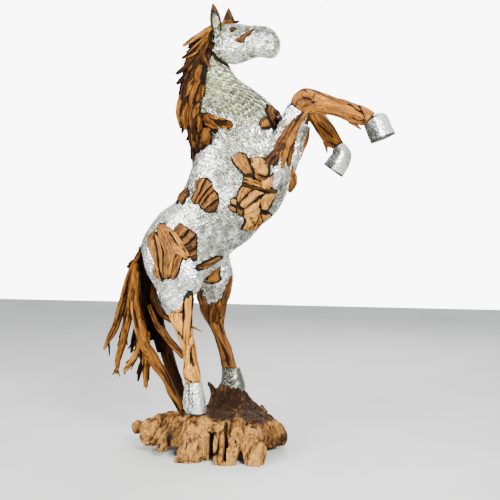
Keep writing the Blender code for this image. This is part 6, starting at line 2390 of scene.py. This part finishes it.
@dataclass
class Studio:
    """A plain pale floor, soft light and the camera at the photograph's angle."""

    azimuth: float = math.radians(12.0)
    elevation: float = math.radians(2.26)
    distance: float = 4.2
    target: tuple = (0.20, 0.0, 1.034)
    lens: float = 59.2              # focal length and width of the picture, millimetres
    sensor: float = 36.0
    floor_size: float = 14.0
    floor_colours: tuple = ((0.44, 0.45, 0.435), (0.50, 0.51, 0.495))
    air: tuple = (0.97, 0.98, 1.0, 1)
    rise: tuple = (-0.15, 0.85)     # heights of view between which the light changes
    level: tuple = (0.38, 1.5)      # light of the surround, low and overhead
    backdrop: float = 9.0           # light of the surround as the camera sees it
    aim: tuple = (0.1, 0, 1.2)      # what the lights look at
    lights: tuple = (("key", (2.3, -3.3, 2.9), 1.4, 560), ("fill", (-2.4, -3.0, 2.4), 1.5, 330),
                     ("back", (0.4, 3.6, 3.4), 2.4, 220))   # name, place, size and power

    def build(self) -> None:
        """Sets up floor, world, lights and camera."""
        self.floor()
        self.world()
        for light in self.lights:
            self.light(*light)
        a, e = self.azimuth, self.elevation
        back = np.array((math.sin(a) * math.cos(e), -math.cos(a) * math.cos(e), math.sin(e)))
        camera = bpy.data.objects.new("camera", bpy.data.cameras.new("camera"))
        camera.data.lens = self.lens
        camera.data.sensor_width = self.sensor
        camera.location = np.array(self.target) + back * self.distance
        camera.rotation_euler = (math.pi / 2 - e, 0, a)
        bpy.context.collection.objects.link(camera)
        bpy.context.scene.camera = camera

    def floor(self) -> None:
        """A large flat floor with a pale material."""
        half = self.floor_size / 2
        mesh = bpy.data.meshes.new("floor")
        corners = [(-half, -half, 0), (half, -half, 0), (half, half, 0), (-half, half, 0)]
        mesh.from_pydata(corners, [], [(0, 1, 2, 3)])
        floor = bpy.data.objects.new("floor", mesh)
        bpy.context.collection.objects.link(floor)
        g = Graph("pale_floor")
        cloud = g.noise(g.place, 1.3, 4)
        base = g.ramp(cloud, zip((0.3, 0.7), self.floor_colours))
        mesh.materials.append(g.finish(Base_Color=base, Roughness=0.6))

    def world(self) -> None:
        """A pale surround: white behind the horse, and softer as light, most from above."""
        world = bpy.data.worlds.new("surround")
        world.use_nodes = True
        tree = world.node_tree
        background = tree.nodes["Background"]
        background.inputs["Color"].default_value = self.air
        heading = tree.nodes.new("ShaderNodeTexCoord").outputs["Generated"]
        split = tree.nodes.new("ShaderNodeSeparateXYZ")
        tree.links.new(heading, split.inputs[0])
        rise = tree.nodes.new("ShaderNodeMapRange")
        for i, value in enumerate((*self.rise, *self.level), start=1):
            rise.inputs[i].default_value = value
        tree.links.new(split.outputs["Z"], rise.inputs[0])
        seen = tree.nodes.new("ShaderNodeLightPath").outputs["Is Camera Ray"]
        strength = tree.nodes.new("ShaderNodeMix")
        tree.links.new(seen, strength.inputs[0])
        tree.links.new(rise.outputs[0], strength.inputs[2])
        strength.inputs[3].default_value = self.backdrop
        tree.links.new(strength.outputs[0], background.inputs["Strength"])
        bpy.context.scene.world = world

    def light(self, name: str, place: tuple, size: float, power: float) -> None:
        """A square soft light that looks at the middle of the horse.

        Args:
            name: The light's name.
            place: Where it stands.
            size: Length of its sides.
            power: Watts.
        """
        data = bpy.data.lights.new(name, "AREA")
        data.size = size
        data.energy = power
        light = bpy.data.objects.new(name, data)
        light.location = place
        aim = np.array(self.aim) - np.array(place)
        flat = math.hypot(aim[0], aim[1])
        light.rotation_euler = (math.pi / 2 + math.atan2(aim[2], flat), 0,
                                math.atan2(aim[1], aim[0]) - math.pi / 2)
        bpy.context.collection.objects.link(light)


def main() -> None:
    """Builds each sub-assembly in turn, then the studio."""
    logging.basicConfig(level=logging.INFO, format="%(message)s")
    finishes = Finishes()
    body = Cladding()
    bare = tuple((shrunk(patch.outline, BARE_SHARE), patch.side)
                 for name, patch in PATCHES.items() if name != FAR_THIGH_PATCH)
    body.build(finishes, bare)
    Legs().build(finishes, body)
    Patches().build(finishes, body)
    Mane().build(finishes, body)
    Tail().build(finishes)
    Base().build(finishes)
    Studio().build()


if __name__ == "__main__":
    main()
